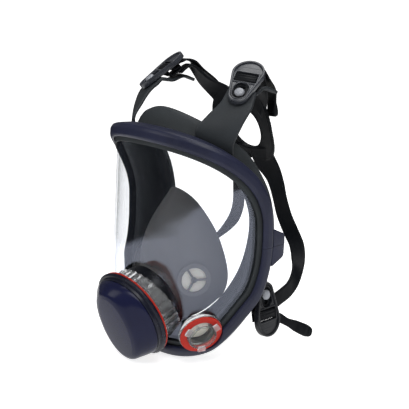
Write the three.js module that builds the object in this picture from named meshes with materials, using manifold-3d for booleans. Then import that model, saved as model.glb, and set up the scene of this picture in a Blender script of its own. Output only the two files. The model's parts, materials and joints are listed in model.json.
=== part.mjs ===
// Full face respirator: a wrap-round clear lens in a two-part frame, a rubber face seal with strap
// tabs, a nose cup with two inhalation valves, a centre exhalation port, two bayonet filter ports
// and a four-strap rubber head harness on button studs and buckles.
//
// Millimetres. +X is the wearer's left, the mask looks along -Y, +Z is up. The origin lies in the
// middle of the opening that the face goes into, where the head holds the mask.
import * as THREE from 'three';
import { mergeVertices } from 'three/addons/utils/BufferGeometryUtils.js';
import Module from 'manifold-3d';

const wasm = await Module();
wasm.setup();

// ---------------------------------------------------------------- driving dimensions
const GAP = 0.3;                  // clearance between pieces that touch
const SIDES = [1, -1];            // wearer's left, wearer's right

// Lens: plan sections from chin to brow. Each is half a superellipse.
const LENS_BACK_Y = -4;
const LENS_SECTIONS = [
  { z: -124, halfWidth: 55, depth: 53, squareness: 2.3 },
  { z: -100, halfWidth: 70, depth: 63, squareness: 2.5 },
  { z: -76, halfWidth: 80, depth: 71, squareness: 2.7 },
  { z: -40, halfWidth: 83.5, depth: 72, squareness: 2.4 },
  { z: 0, halfWidth: 84, depth: 71, squareness: 2.2 },
  { z: 50, halfWidth: 82, depth: 70, squareness: 2.1 },
  { z: 84, halfWidth: 79, depth: 69, squareness: 2.1 },
];
const LENS_THICKNESS = 2;
const LENS_TOP_Z = 80;
const LENS_CHIN_Z = -121;
const BROW_SQUARENESS = 2.05;
const CHIN_SQUARENESS = 2.8;
const SIDE_ANGLE = 89;            // degrees round the plan at which the lens ends

// Filter ports stand on flat cheek facets of the lens.
const CHEEK_AXIS = [0.858, -0.369, -0.349];
const CHEEK_POINT = [53.5, -57.5, -93.5];
const CREASE = 2;                 // roundness of the edge of the facet
const PORT_FLANGE_R = 19.6;
const PORT_NECK_R = 14.6;
const PORT_BORE_R = 11.8;
const PORT_GASKET_R = [15.4, 19.1];

// Frame and seal sections, across the lens edge (b, outwards) and through it (n, forwards).
const LOOP_STEPS = 44;
const FRAME_SPLIT_Z = -20;
const FRAME_SECTION = [
  [-8.6, 2.5], [-8.2, 4.9], [-5.5, 6.6], [0.5, 6.6], [3.6, 4.6],
  [4.2, 1], [4.2, -8], [-3.4, -8], [-3.4, -5.6], [1.9, -5.6], [1.9, 2.5],
];
const SEAL_FRONT = [[-13, GAP], [-12.6, 1.8], [1.2, 1.8], [1.2, -4.8]];
const SEAL_SHEET = 2.4;

// Centre port, on an axis that dips 20 degrees below straight ahead.
const CENTRE_POINT = [0, -86.5, -82];
const CENTRE_DIP = 20;
const COLLAR_R = [33.2, 36];
const FLANGE_R = 41.5;
const NECK_R = 24;
const RING_STEPS = 30;

// Straps.
const STRAP_THICKNESS = 2.4;
const TAIL_THICKNESS = 1.9;
const BUCKLE_THICKNESS = 4.4;
const SWIVEL_CLEARANCE = 0.6;

// ---------------------------------------------------------------- vectors and solids
const V = (x, y, z) => new THREE.Vector3(x, y, z);
const vec = (a) => V(a[0], a[1], a[2]);
const mirrored = (a, side) => V(a[0] * side, a[1], a[2]);
const radians = THREE.MathUtils.degToRad;
const power = (value, exponent) => Math.sign(value) * Math.abs(value) ** exponent;

// The same surface with shared corners, without empty triangles and with its faces pointing out.
function outward(geometry) {
  const bare = new THREE.BufferGeometry().setAttribute('position', geometry.getAttribute('position'));
  bare.setIndex(geometry.index);
  const merged = mergeVertices(bare, 1e-3);
  const position = merged.attributes.position;
  const index = [];
  let volume = 0;
  for (let i = 0; i < merged.index.count; i += 3) {
    const [a, b, c] = [0, 1, 2].map((k) => merged.index.getX(i + k));
    if (a === b || b === c || c === a) continue;
    index.push(a, b, c);
    const [p, q, r] = [a, b, c].map((k) => V().fromBufferAttribute(position, k));
    volume += p.dot(q.cross(r));
  }
  if (volume < 0) index.reverse();
  merged.setIndex(index);
  return merged;
}

function solidGeometry(points, triangles) {
  return outward(new THREE.BufferGeometry().setFromPoints(points).setIndex(triangles.flat()));
}

// A sheet between two equal grids of points, joined round its rims.
function sheetBetween(outer, inner, closed) {
  const rows = outer.length;
  const columns = outer[0].length;
  const points = [...outer.flat(), ...inner.flat()];
  const at = (face, row, column) => (face * rows + row) * columns + (column % columns);
  const triangles = [];
  const quad = (a, b, c, d) => triangles.push([a, b, c], [a, c, d]);
  const last = closed ? columns : columns - 1;
  for (let row = 0; row < rows - 1; row += 1) {
    for (let column = 0; column < last; column += 1) {
      quad(at(0, row, column), at(0, row, column + 1), at(0, row + 1, column + 1), at(0, row + 1, column));
      quad(at(1, row, column), at(1, row + 1, column), at(1, row + 1, column + 1), at(1, row, column + 1));
    }
  }
  for (let column = 0; column < last; column += 1) {
    quad(at(0, 0, column), at(1, 0, column), at(1, 0, column + 1), at(0, 0, column + 1));
    const end = rows - 1;
    quad(at(0, end, column), at(0, end, column + 1), at(1, end, column + 1), at(1, end, column));
  }
  if (!closed) {
    for (let row = 0; row < rows - 1; row += 1) {
      quad(at(0, row, 0), at(0, row + 1, 0), at(1, row + 1, 0), at(1, row, 0));
      quad(at(0, row, last), at(1, row, last), at(1, row + 1, last), at(0, row + 1, last));
    }
  }
  return solidGeometry(points, triangles);
}

// Normals of a grid of points, by differences along its rows and columns.
function gridNormals(grid, closed) {
  const rows = grid.length;
  const columns = grid[0].length;
  const wrap = (c) => (closed ? (c + columns) % columns : THREE.MathUtils.clamp(c, 0, columns - 1));
  return grid.map((line, r) => line.map((_, c) => {
    const up = grid[Math.min(r + 1, rows - 1)][c].clone().sub(grid[Math.max(r - 1, 0)][c]);
    const along = line[wrap(c + 1)].clone().sub(line[wrap(c - 1)]);
    return along.cross(up).normalize();
  }));
}

function thickened(grid, thickness, closed) {
  const normals = gridNormals(grid, closed);
  const shifted = (amount) => grid.map((line, r) => line.map((p, c) => (
    p.clone().addScaledVector(normals[r][c], amount))));
  return sheetBetween(shifted(thickness / 2), shifted(-thickness / 2), closed);
}

// A closed section swept round a loop, or along part of it with capped ends.
function sweep(sections, closed) {
  const count = sections[0].length;
  const triangles = [];
  const stations = sections.length;
  const last = closed ? stations : stations - 1;
  for (let s = 0; s < last; s += 1) {
    const next = (s + 1) % stations;
    for (let k = 0; k < count; k += 1) {
      const k2 = (k + 1) % count;
      triangles.push([s * count + k, next * count + k, next * count + k2]);
      triangles.push([s * count + k, next * count + k2, s * count + k2]);
    }
  }
  if (!closed) {
    const flat = (section) => {
      const across = section[1].clone().sub(section[0]).normalize();
      const normal = V();
      section.forEach((p, k) => normal.add(p.clone().sub(section[0])
        .cross(section[(k + 1) % count].clone().sub(section[0]))));
      const up = normal.normalize().cross(across);
      return section.map((p) => new THREE.Vector2(p.dot(across), p.dot(up)));
    };
    for (const [s, forwards] of [[0, true], [stations - 1, false]]) {
      const outline = flat(sections[s]);
      for (const [a, b, c] of THREE.ShapeUtils.triangulateShape(outline, [])) {
        const turnsLeft = THREE.ShapeUtils.area([outline[a], outline[b], outline[c]]) > 0;
        const t = [s * count + a, s * count + b, s * count + c];
        triangles.push(turnsLeft === forwards ? t : t.reverse());
      }
    }
  }
  return solidGeometry(sections.flat(), triangles);
}

// A flat strap through stations { at, across, width }, smooth between them. Its thickness is given
// at each share of the way along it.
function ribbonOf(stations, thicknessAt, steps, side) {
  const path = new THREE.CatmullRomCurve3(stations.map((s) => mirrored(s.at, side)));
  const across = new THREE.CatmullRomCurve3(stations.map((s) => (
    mirrored(s.across, side).multiplyScalar(s.width / 2))));
  const sections = [];
  for (let i = 0; i <= steps; i += 1) {
    const p = path.getPoint(i / steps);
    const half = across.getPoint(i / steps);
    const through = path.getTangent(i / steps).cross(half).normalize();
    through.multiplyScalar(thicknessAt(i / steps) / 2);
    sections.push([[1, 1], [1, -1], [-1, -1], [-1, 1]].map(([w, n]) => (
      p.clone().addScaledVector(half, w).addScaledVector(through, n))));
  }
  return sweep(sections, false);
}
const ribbon = (stations, thickness, steps, side) => ribbonOf(stations, () => thickness, steps, side);

function toManifold(geometry) {
  const merged = outward(geometry);
  return new wasm.Manifold(new wasm.Mesh({
    numProp: 3,
    vertProperties: merged.attributes.position.array,
    triVerts: new Uint32Array(merged.index.array),
  }));
}

function fromManifold(manifold) {
  const mesh = manifold.getMesh();
  const geometry = new THREE.BufferGeometry();
  geometry.setAttribute('position', new THREE.BufferAttribute(mesh.vertProperties, 3));
  geometry.setIndex(new THREE.BufferAttribute(mesh.triVerts, 1));
  return geometry;
}

const cut = (geometry, ...tools) => fromManifold(
  tools.reduce((body, tool) => body.subtract(toManifold(tool)), toManifold(geometry)));
const join = (geometry, ...others) => fromManifold(
  others.reduce((body, other) => body.add(toManifold(other)), toManifold(geometry)));

// A turned piece from a closed profile of [radius, height] corners, about +Y.
function turned(profile, segments = 20) {
  const corners = profile.map(([r, h]) => new THREE.Vector2(r, h));
  const closed = profile.every(([r]) => r > 0);
  if (closed) corners.push(corners[0].clone());
  return outward(new THREE.LatheGeometry(corners, segments));
}

// A frame of axes at a point: x across, y along the axis, z completing the set.
function axes(origin, axis, across) {
  const y = axis.clone().normalize();
  const x = across.clone().addScaledVector(y, -across.dot(y)).normalize();
  return new THREE.Matrix4().makeBasis(x, y, x.clone().cross(y)).setPosition(origin);
}

const rod = (radius, from, to, segments = 20) => (
  turned([[0, from], [radius, from], [radius, to], [0, to]], segments));

// ---------------------------------------------------------------- materials
const plastic = (color, roughness) => new THREE.MeshStandardMaterial({ color, roughness, metalness: 0 });
const MATERIALS = {
  lens: () => plastic(0xeef2f5, 0.08),
  navy: () => plastic(0x2b2d40, 0.45),
  seal: () => plastic(0x34383a, 0.7),
  harness: () => plastic(0x171b1f, 0.6),
  buckle: () => plastic(0x2c2f36, 0.3),
  red: () => plastic(0xb8301f, 0.5),
  cup: () => plastic(0x56575c, 0.65),
  ivory: () => plastic(0xe2dfd2, 0.5),
  steel: () => new THREE.MeshStandardMaterial({ color: 0xc9ccd0, roughness: 0.3, metalness: 0.9 }),
};

const respirator = new THREE.Group();
function add(name, geometry, material, matrix = new THREE.Matrix4()) {
  const mesh = new THREE.Mesh(geometry, MATERIALS[material]());
  mesh.name = name;
  mesh.applyMatrix4(matrix);
  respirator.add(mesh);
}
const sideName = (side) => (side > 0 ? 'left' : 'right');

// ---------------------------------------------------------------- lens surface and its edge
const sectionAt = new THREE.CubicInterpolant(
  new Float32Array(LENS_SECTIONS.map((s) => s.z)),
  new Float32Array(LENS_SECTIONS.flatMap((s) => [s.halfWidth, s.depth, s.squareness])), 3);
const cheekAxis = vec(CHEEK_AXIS).normalize();
const cheekOffset = cheekAxis.dot(vec(CHEEK_POINT));

// The outer surface of the lens at an angle round the plan (0 ahead) and a height.
function lensPoint(angle, z) {
  const [halfWidth, depth, squareness] = sectionAt.evaluate(z);
  const p = V(
    halfWidth * power(Math.sin(angle), 2 / squareness),
    LENS_BACK_Y - depth * power(Math.cos(angle), 2 / squareness), z);
  for (const side of SIDES) {
    const facet = mirrored(cheekAxis.toArray(), side);
    const over = facet.dot(p) - cheekOffset;
    p.addScaledVector(facet, -(over + Math.hypot(over, CREASE)) / 2);
  }
  return p;
}

function lensNormal(angle, z) {
  const step = 0.01;
  const round = lensPoint(angle + step, z).sub(lensPoint(angle - step, z));
  const up = lensPoint(angle, z + 0.5).sub(lensPoint(angle, z - 0.5));
  return round.cross(up).normalize();
}

// Angle and height of the lens edge, from the middle of the brow round the wearer's left.
function edgeAt(turn) {
  const theta = turn * 2 * Math.PI;
  const upper = Math.cos(theta) >= 0;
  const squareness = upper ? BROW_SQUARENESS : CHIN_SQUARENESS;
  const reach = upper ? LENS_TOP_Z : -LENS_CHIN_Z;
  return {
    angle: radians(SIDE_ANGLE) * power(Math.sin(theta), 2 / squareness),
    z: reach * power(Math.cos(theta), 2 / squareness),
  };
}

const edgePoint = (turn) => {
  const { angle, z } = edgeAt(turn);
  return lensPoint(angle, z);
};

// At a turn round the lens edge: the point, outwards across the edge (b) and forwards (n).
function edgeFrame(turn) {
  const { angle, z } = edgeAt(turn);
  const normal = lensNormal(angle, z);
  const along = edgePoint(turn + 0.004).sub(edgePoint(turn - 0.004)).normalize();
  const outwards = normal.clone().cross(along).normalize();
  return { point: lensPoint(angle, z), outwards, normal };
}

const onEdge = (frame, b, n) => frame.point.clone()
  .addScaledVector(frame.outwards, b).addScaledVector(frame.normal, n);
const loopTurns = Array.from({ length: LOOP_STEPS }, (_, i) => i / LOOP_STEPS);

// A section swept all the way round the lens edge.
function loopOf(section) {
  return sweep(loopTurns.map((turn) => {
    const frame = edgeFrame(turn);
    return section.map(([b, n]) => onEdge(frame, b, n));
  }), true);
}

function lensBody() {
  const rings = [1, 0.93, 0.78, 0.6, 0.4, 0.2, 0];
  const inset = 1.5;
  const edge = loopTurns.map((turn) => {
    const { angle, z } = edgeAt(turn);
    return { angle, z };
  });
  const centreZ = -12;
  const grid = rings.map((r, row) => edge.map(({ angle, z }, i) => {
    if (row === 0) return onEdge(edgeFrame(loopTurns[i]), -inset, 0);
    return lensPoint(r * angle, centreZ + r * (z - centreZ));
  }));
  const inner = rings.map((r, row) => edge.map(({ angle, z }, i) => {
    const a = r * angle;
    const h = centreZ + r * (z - centreZ);
    return grid[row][i].clone().addScaledVector(row === 0 ? edgeFrame(loopTurns[i]).normal
      : lensNormal(a, h), -LENS_THICKNESS);
  }));
  return sheetBetween(grid, inner, true);
}

// ---------------------------------------------------------------- centre port and filter port places
const dip = radians(CENTRE_DIP);
const centreAxes = axes(vec(CENTRE_POINT), V(0, -Math.cos(dip), -Math.sin(dip)), V(1, 0, 0));
const cheekAxes = (side) => (
  axes(mirrored(CHEEK_POINT, side), mirrored(cheekAxis.toArray(), side), V(0, 0, 1)));
const placed = (geometry, matrix) => geometry.clone().applyMatrix4(matrix);

function addLens() {
  const holes = [placed(rod(COLLAR_R[1] + GAP, -60, 20, RING_STEPS), centreAxes)];
  SIDES.forEach((side) => holes.push(placed(rod(PORT_NECK_R + GAP, -14, 14), cheekAxes(side))));
  add('lens', cut(lensBody(), ...holes), 'lens');
}

// ---------------------------------------------------------------- frame halves, lugs and screws
const LUG = { x: 84, y: 4.6, thickness: 12, screwR: 1.5, headR: 3, nutR: 2.9 };

// One lug: a trapezium in the YZ plane, extruded sideways.
function lug(corners, side) {
  const shape = new THREE.Shape(corners.map(([y, z]) => new THREE.Vector2(y, z)));
  const block = new THREE.ExtrudeGeometry(shape, { depth: LUG.thickness, bevelEnabled: false });
  const matrix = new THREE.Matrix4().makeBasis(V(0, 1, 0), V(0, 0, 1), V(1, 0, 0));
  matrix.setPosition(side * LUG.x - LUG.thickness / 2, 0, 0);
  return placed(block, matrix);
}

const verticalRod = (side, radius, from, to, segments = 16) => (
  placed(rod(radius, from, to, segments), new THREE.Matrix4().makeRotationX(Math.PI / 2)
    .setPosition(side * LUG.x, LUG.y, 0)));

// Room round a filter port: for its flange in front of the lens and its neck behind it.
const portRoom = () => SIDES.flatMap((side) => [
  placed(rod(PORT_FLANGE_R + GAP, -0.2, 14, 28), cheekAxes(side)),
  placed(rod(PORT_NECK_R + GAP, -12, 1, 28), cheekAxes(side))]);

function addFrame() {
  const top = FRAME_SPLIT_Z + GAP / 2;
  const bottom = FRAME_SPLIT_Z - GAP / 2;
  const size = 400;
  const below = new THREE.BoxGeometry(size, size, size).translate(0, 0, top - size / 2);
  const above = new THREE.BoxGeometry(size, size, size).translate(0, 0, bottom + size / 2);
  const upperLugs = SIDES.map((side) => lug(
    [[-3.6, top], [10.5, top], [10.5, top + 9], [-3.6, top + 16]], side));
  const lowerLugs = SIDES.map((side) => lug(
    [[-6.5, bottom - 18], [9.5, bottom - 11], [10.5, bottom], [-3.6, bottom]], side));
  const bores = SIDES.map((side) => verticalRod(side, LUG.screwR + GAP, -60, 20));
  const nutPockets = SIDES.map((side) => verticalRod(side, LUG.nutR + GAP, top + 3, 20));
  const headPockets = SIDES.map((side) => verticalRod(side, LUG.headR + GAP, -60, bottom - 6));
  const upper = join(cut(loopOf(FRAME_SECTION), below), ...upperLugs);
  add('upper_frame', cut(upper, ...bores, ...nutPockets), 'navy');
  const lower = join(cut(loopOf(FRAME_SECTION), above), ...lowerLugs);
  add('lower_frame', cut(lower, ...bores, ...headPockets, ...portRoom()), 'navy');
  SIDES.forEach((side) => {
    const head = bottom - 6 - GAP;
    const screw = turned([[0, head - 2.4], [2.4, head - 2.4], [LUG.headR, head - 1.8], [LUG.headR, head],
      [LUG.screwR, head], [LUG.screwR, top + 6.5], [0, top + 6.5]], 16);
    const stand = new THREE.Matrix4().makeRotationX(Math.PI / 2).setPosition(side * LUG.x, LUG.y, 0);
    add(`frame_screw_${sideName(side)}`, screw, 'steel', stand);
    const nutFrom = top + 3 + GAP;
    const nut = turned([[LUG.screwR + GAP, nutFrom], [LUG.nutR, nutFrom], [LUG.nutR, nutFrom + 2.4],
      [LUG.screwR + GAP, nutFrom + 2.4]], 6);
    add(`frame_nut_${sideName(side)}`, nut, 'steel', stand);
  });
}

// ---------------------------------------------------------------- studs, buckles and strap ends
// Each corner: the stud's place on its tab, the buckle's long direction and its facing direction.
const UPPER = { stud: [55.5, -11.5, 107.5], long: [-0.275, 0.741, 0.614], facing: [0.33, -0.49, 0.8] };
const LOWER = { stud: [73.5, -1, -68], long: [0.14, 0, -0.99], facing: [0.99, 0, 0.14] };
const CORNERS = { upper: UPPER, lower: LOWER };
const TAB_THICKNESS = 3;

// Axes at a stud: x across the buckle, y along the stud, z along the buckle's long direction.
function cornerAxes(corner, side) {
  const y = mirrored(corner.facing, side).normalize();
  const z = mirrored(corner.long, side);
  z.addScaledVector(y, -z.dot(y)).normalize();
  return new THREE.Matrix4().makeBasis(y.clone().cross(z), y, z).setPosition(mirrored(corner.stud, side));
}

// A point a given way along and above a corner's stud.
const byStud = (corner, along, height) => [0, 1, 2].map((k) => (
  corner.stud[k] + along * corner.long[k] + height * corner.facing[k]));

const PLATE_FROM = TAB_THICKNESS / 2 + SWIVEL_CLEARANCE;
const PLATE_TO = PLATE_FROM + BUCKLE_THICKNESS;
const BUCKLE = {
  narrowR: 9, narrowAt: -2.5, wideR: 14.5, wideAt: 23.5,
  slotFrom: 12.5, slotTo: 23.5, slotWidth: 20,
  barFrom: 16, barTo: 20, barDepth: 2, barRise: 1.2,
  hole: 3.6, entry: 3.4, entryAt: 6,
};

function studGeometry() {
  const low = -TAB_THICKNESS / 2 - GAP;
  const top = PLATE_TO + GAP;
  return turned([[0, low - 1.6], [5, low - 1.6], [5, low], [3, low], [3, top], [5.4, top],
    [5.4, top + 1], [4.4, top + 2], [0, top + 2.3]], 14);
}

// Buckle plate: a teardrop outline with a keyhole and a strap slot crossed by a bar.
function buckleGeometry() {
  const { narrowR, narrowAt, wideR, wideAt } = BUCKLE;
  const lean = Math.asin((wideR - narrowR) / (wideAt - narrowAt));
  const outline = new THREE.Shape();
  outline.absarc(0, wideAt, wideR, -lean, Math.PI + lean, false);
  outline.absarc(0, narrowAt, narrowR, Math.PI + lean, 2 * Math.PI - lean, false);
  outline.closePath();
  const slot = new THREE.Path();
  const halfSlot = BUCKLE.slotWidth / 2;
  slot.moveTo(-halfSlot, BUCKLE.slotFrom).lineTo(halfSlot, BUCKLE.slotFrom)
    .lineTo(halfSlot, BUCKLE.slotTo).lineTo(-halfSlot, BUCKLE.slotTo).closePath();
  const keyhole = new THREE.Path();
  keyhole.absarc(0, 0, BUCKLE.hole, 0.8, Math.PI - 0.8, true);
  keyhole.absarc(0, BUCKLE.entryAt, BUCKLE.entry, Math.PI - 0.4, 0.4, true);
  keyhole.closePath();
  outline.holes.push(slot, keyhole);
  const plate = new THREE.ExtrudeGeometry(outline, { depth: BUCKLE_THICKNESS, bevelEnabled: false,
    curveSegments: 7 });
  // The outline's x, y and depth become the stud frame's -x, z and y.
  plate.applyMatrix4(new THREE.Matrix4().makeBasis(V(-1, 0, 0), V(0, 0, 1), V(0, 1, 0))
    .setPosition(0, PLATE_FROM, 0));
  const bar = new THREE.BoxGeometry(BUCKLE.slotWidth + 2, BUCKLE.barDepth, BUCKLE.barTo - BUCKLE.barFrom);
  bar.translate(0, PLATE_FROM + BUCKLE.barRise, (BUCKLE.barFrom + BUCKLE.barTo) / 2);
  return join(plate, bar);
}

// A flat band of even thickness along a bent line of [along, through] points.
function bandShape(line, thickness) {
  const points = line.map(([along, through]) => new THREE.Vector2(along, through));
  const edge = (sign) => points.map((p, i) => {
    const before = points[Math.max(i - 1, 0)];
    const after = points[Math.min(i + 1, points.length - 1)];
    const last = i === points.length - 1;
    const into = (i ? p : after).clone().sub(i ? before : p).normalize();
    const out = (last ? p : after).clone().sub(last ? before : p).normalize();
    const across = new THREE.Vector2(-into.y - out.y, into.x + out.x).normalize();
    const mitre = 1 / across.dot(new THREE.Vector2(-into.y, into.x));
    return p.clone().addScaledVector(across, (sign * thickness * mitre) / 2);
  });
  return new THREE.Shape([...edge(1), ...edge(-1).reverse()]);
}

// The ribbed strap in the buckle: in under the bar, up in front of it, over it, down behind it
// and out backwards as the free end.
const STRAP_IN = -4.3;
const STRAP_OUT = -1.7;
const LOOP_END = { upper: 28, lower: 24 };
function strapLoopGeometry(end) {
  const t = 1.7;
  const front = BUCKLE.barFrom - GAP - t / 2;
  const rear = BUCKLE.barTo + GAP + t / 2;
  const top = PLATE_FROM + BUCKLE.barRise + BUCKLE.barDepth / 2 + GAP + t / 2;
  const line = [[end, STRAP_IN], [front + 2, STRAP_IN], [front, STRAP_IN + 2], [front, top], [rear, top],
    [rear, STRAP_OUT + 1], [rear + 1, STRAP_OUT], [end, STRAP_OUT]];
  const half = BUCKLE.slotWidth / 2 - 0.6;
  const loop = new THREE.ExtrudeGeometry(bandShape(line, t), { depth: 2 * half, bevelEnabled: false });
  const turn = new THREE.Matrix4().makeBasis(V(0, 0, 1), V(0, 1, 0), V(-1, 0, 0)).setPosition(half, 0, 0);
  return placed(loop, turn);
}

function addBuckles() {
  for (const [level, corner] of Object.entries(CORNERS)) {
    for (const side of SIDES) {
      const place = cornerAxes(corner, side);
      const name = `${level}_${sideName(side)}`;
      add(`strap_stud_${name}`, studGeometry(), 'buckle', place);
      add(`buckle_${name}`, buckleGeometry(), 'buckle', place);
      add(`strap_loop_${name}`, strapLoopGeometry(LOOP_END[level]), 'harness', place);
    }
  }
}

// ---------------------------------------------------------------- face seal with its strap tabs
const SEAL_BULGE = [[0, -48, 96], [40, -36, 84], [62, -14, 62], [69, 3, 36], [72, 12, 10],
  [72, 14, -22], [67, 3, -58], [53, -16, -92], [30, -33, -116], [0, -41, -125]];
const SEAL_LIP = [[0, -36, 73], [29, -28, 66], [44, -11, 50], [50, 2, 30], [51.5, 8, 8],
  [51, 9, -20], [47, 1, -52], [36, -13, -80], [19, -25, -98], [0, -29, -103]];
const SEAL_FOLD = [[-6, -3.7], [-9.2, -6.6], [-8.6, -11.8]];

// A closed loop from its points on the wearer's left, top to bottom.
function loopCurve(half) {
  const right = half.slice(1, -1).reverse().map((p) => mirrored(p, -1));
  return new THREE.CatmullRomCurve3([...half.map(vec), ...right], true, 'catmullrom', 0.5);
}

function sealGeometry() {
  const bulge = loopCurve(SEAL_BULGE);
  const lip = loopCurve(SEAL_LIP);
  const grid = loopTurns.map((turn) => {
    const frame = edgeFrame(turn);
    const fold = SEAL_FOLD.map(([b, n]) => onEdge(frame, b, n));
    const route = [...fold, bulge.getPoint(turn), lip.getPoint(turn)];
    const curve = new THREE.CatmullRomCurve3(route);
    const start = onEdge(frame, -1.5, -3.6);
    const samples = Array.from({ length: 7 }, (_, k) => curve.getPoint(k / 6));
    return [start, ...samples];
  });
  const normals = gridNormals(grid, false);
  const wrapped = gridNormals([grid.at(-1), ...grid, grid[0]], false).slice(1, -1);
  const face = (sign) => grid.map((line, r) => line.map((p, c) => (
    p.clone().addScaledVector(wrapped[r][c] ?? normals[r][c], (sign * SEAL_SHEET) / 2))));
  const [front, rear] = [face(1), face(-1)];
  const sections = loopTurns.map((turn, i) => {
    const frame = edgeFrame(turn);
    const channel = [[-1.2, GAP], ...SEAL_FRONT].map(([b, n]) => onEdge(frame, b, n));
    return [...channel, ...rear[i].slice(1), ...front[i].slice(1).reverse(), onEdge(frame, -1.2, -2.4)];
  });
  return sweep(sections, true);
}

const UPPER_ACROSS = [0.894, 0.423, -0.11];
const UPPER_TAB = [
  { at: [52, -38, 65], across: [0.73, 0.59, -0.32], width: 34 },
  { at: [53, -39, 76], across: [0.73, 0.59, -0.32], width: 35 },
  { at: [56, -30, 90], across: [0.85, 0.5, -0.2], width: 32 },
  { at: byStud(UPPER, -10, 0), across: UPPER_ACROSS, width: 29 },
  { at: byStud(UPPER, 0, 0), across: UPPER_ACROSS, width: 27 },
  { at: byStud(UPPER, 6.5, -0.3), across: UPPER_ACROSS, width: 26 },
  { at: byStud(UPPER, 13.5, -7.6), across: UPPER_ACROSS, width: 23 },
  { at: [51, 18, 112], across: [0.98, 0.2, 0], width: 13 },
  { at: [53, 37, 106], across: [1, 0.1, 0], width: 3 },
];
const LOWER_TAB = [
  { at: [69, -3, -40], across: [0.1, 1, 0], width: 18 },
  { at: byStud(LOWER, -18, -1), across: [0, 1, 0], width: 18 },
  { at: byStud(LOWER, -9, 0), across: [0, 1, 0], width: 18 },
  { at: LOWER.stud, across: [0, 1, 0], width: 18 },
  { at: byStud(LOWER, 9, 0), across: [0, 1, 0], width: 12 },
];

function addSeal() {
  const tabs = [];
  const holes = [];
  for (const side of SIDES) {
    tabs.push(ribbon(UPPER_TAB, TAB_THICKNESS, 16, side), ribbon(LOWER_TAB, TAB_THICKNESS, 8, side));
    for (const corner of [UPPER, LOWER]) {
      holes.push(placed(rod(3 + GAP, -6, 6, 14), cornerAxes(corner, side)));
    }
  }
  const collarRoom = placed(rod(COLLAR_R[1] + GAP, -40, 20, RING_STEPS), centreAxes);
  const rooms = [collarRoom, ...portRoom()];
  add('face_seal', cut(join(sealGeometry(), ...tabs), ...holes, ...rooms), 'seal');
}

// ---------------------------------------------------------------- centre port
function addCentrePort() {
  const [inner, outer] = COLLAR_R;
  // The rear end of the collar is cut on the slope of the lens.
  const collar = turned([[inner, -16], [outer, -16], [outer, -GAP], [inner, -GAP]], RING_STEPS);
  const position = collar.attributes.position;
  for (let i = 0; i < position.count; i += 1) {
    if (position.getY(i) < -10) position.setY(i, -19 - position.getZ(i) * 0.17);
  }
  add('centre_port_collar', collar, 'lens', centreAxes);
  const gasketR = FLANGE_R - 0.3;
  const gasket = turned([[inner, 0], [gasketR, 0], [gasketR, 1.6], [inner, 1.6]], RING_STEPS);
  add('centre_gasket', gasket, 'red', centreAxes);
  const body = turned([[29.4, 1.9], [FLANGE_R, 1.9], [FLANGE_R, 4.6], [40.4, 5.4], [38.9, 5.4], [38.9, 8.4],
    [29.4, 8.4]], RING_STEPS);
  const tube = turned([[30.2, 3], [inner - GAP, 3], [inner - GAP, -25], [NECK_R, -27], [NECK_R, -37],
    [NECK_R - 2.2, -37], [NECK_R - 2.2, -25], [30.2, -23]], RING_STEPS);
  add('port_body', join(body, tube), 'navy', centreAxes);
  add('exhalation_valve_disc', turned([[2.2, 1.2], [25, 1.2], [25, 2.2], [2.2, 2.2]]), 'cup', centreAxes);
  addExhalationSeat();
  add('exhalation_cover', coverGeometry(), 'navy', centreAxes);
}

// The exhalation seat: a rim with three spokes and a pin for the disc.
function addExhalationSeat() {
  const rim = turned([[22.5, -2], [29.1, -2], [29.1, 0.9], [22.5, 0.9]], RING_STEPS);
  const spokes = [0, 1, 2].map((k) => {
    const spoke = new THREE.BoxGeometry(3, 2, 23).translate(0, -0.9, 11.4);
    return spoke.rotateY((k * 2 * Math.PI) / 3);
  });
  const pin = turned([[0, -2], [4, -2], [4, 0.5], [1.8, 0.5], [1.8, 4.2], [3, 4.2], [3, 5.2],
    [0, 5.6]], 12);
  add('exhalation_valve_seat', join(rim, ...spokes, pin), 'cup', centreAxes);
}

// Cover: a hollow dome, round at its base and a tall rounded face in front.
const COVER_STEPS = 28;
const COVER_TOP = 24.4;
const COVER_RINGS = [
  { height: 8.8, halfWidth: 36.8, halfTall: 38, low: 0.2 },
  { height: 13, halfWidth: 33, halfTall: 38, low: 0.3 },
  { height: 18, halfWidth: 27.3, halfTall: 37, low: 1 },
  { height: 22, halfWidth: 23, halfTall: 35.5, low: 1.8 },
  { height: 23.6, halfWidth: 20, halfTall: 33.5, low: 2 },
];
function coverRing({ height, halfWidth, halfTall, low }, inset, drop) {
  return Array.from({ length: COVER_STEPS }, (_, i) => {
    const turn = (i / COVER_STEPS) * 2 * Math.PI;
    return V((halfWidth - inset) * power(Math.cos(turn), 0.96), height - drop,
      (halfTall - inset) * power(Math.sin(turn), 0.92) + low);
  });
}
function coverGeometry() {
  const wall = 2;
  const centre = (height) => Array.from({ length: COVER_STEPS }, () => V(0, height, 2));
  const hollow = COVER_RINGS.map((ring, k) => coverRing(ring, wall, k ? wall * 0.8 : 0));
  const outside = [...COVER_RINGS.map((ring) => coverRing(ring, 0, 0)), centre(COVER_TOP)];
  const inside = [...hollow, centre(COVER_TOP - wall)];
  const shell = sheetBetween(outside, inside, true);
  const outlet = new THREE.BoxGeometry(26, 5, 20).translate(0, 12.2, 40);
  return cut(shell, outlet);
}

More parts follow.
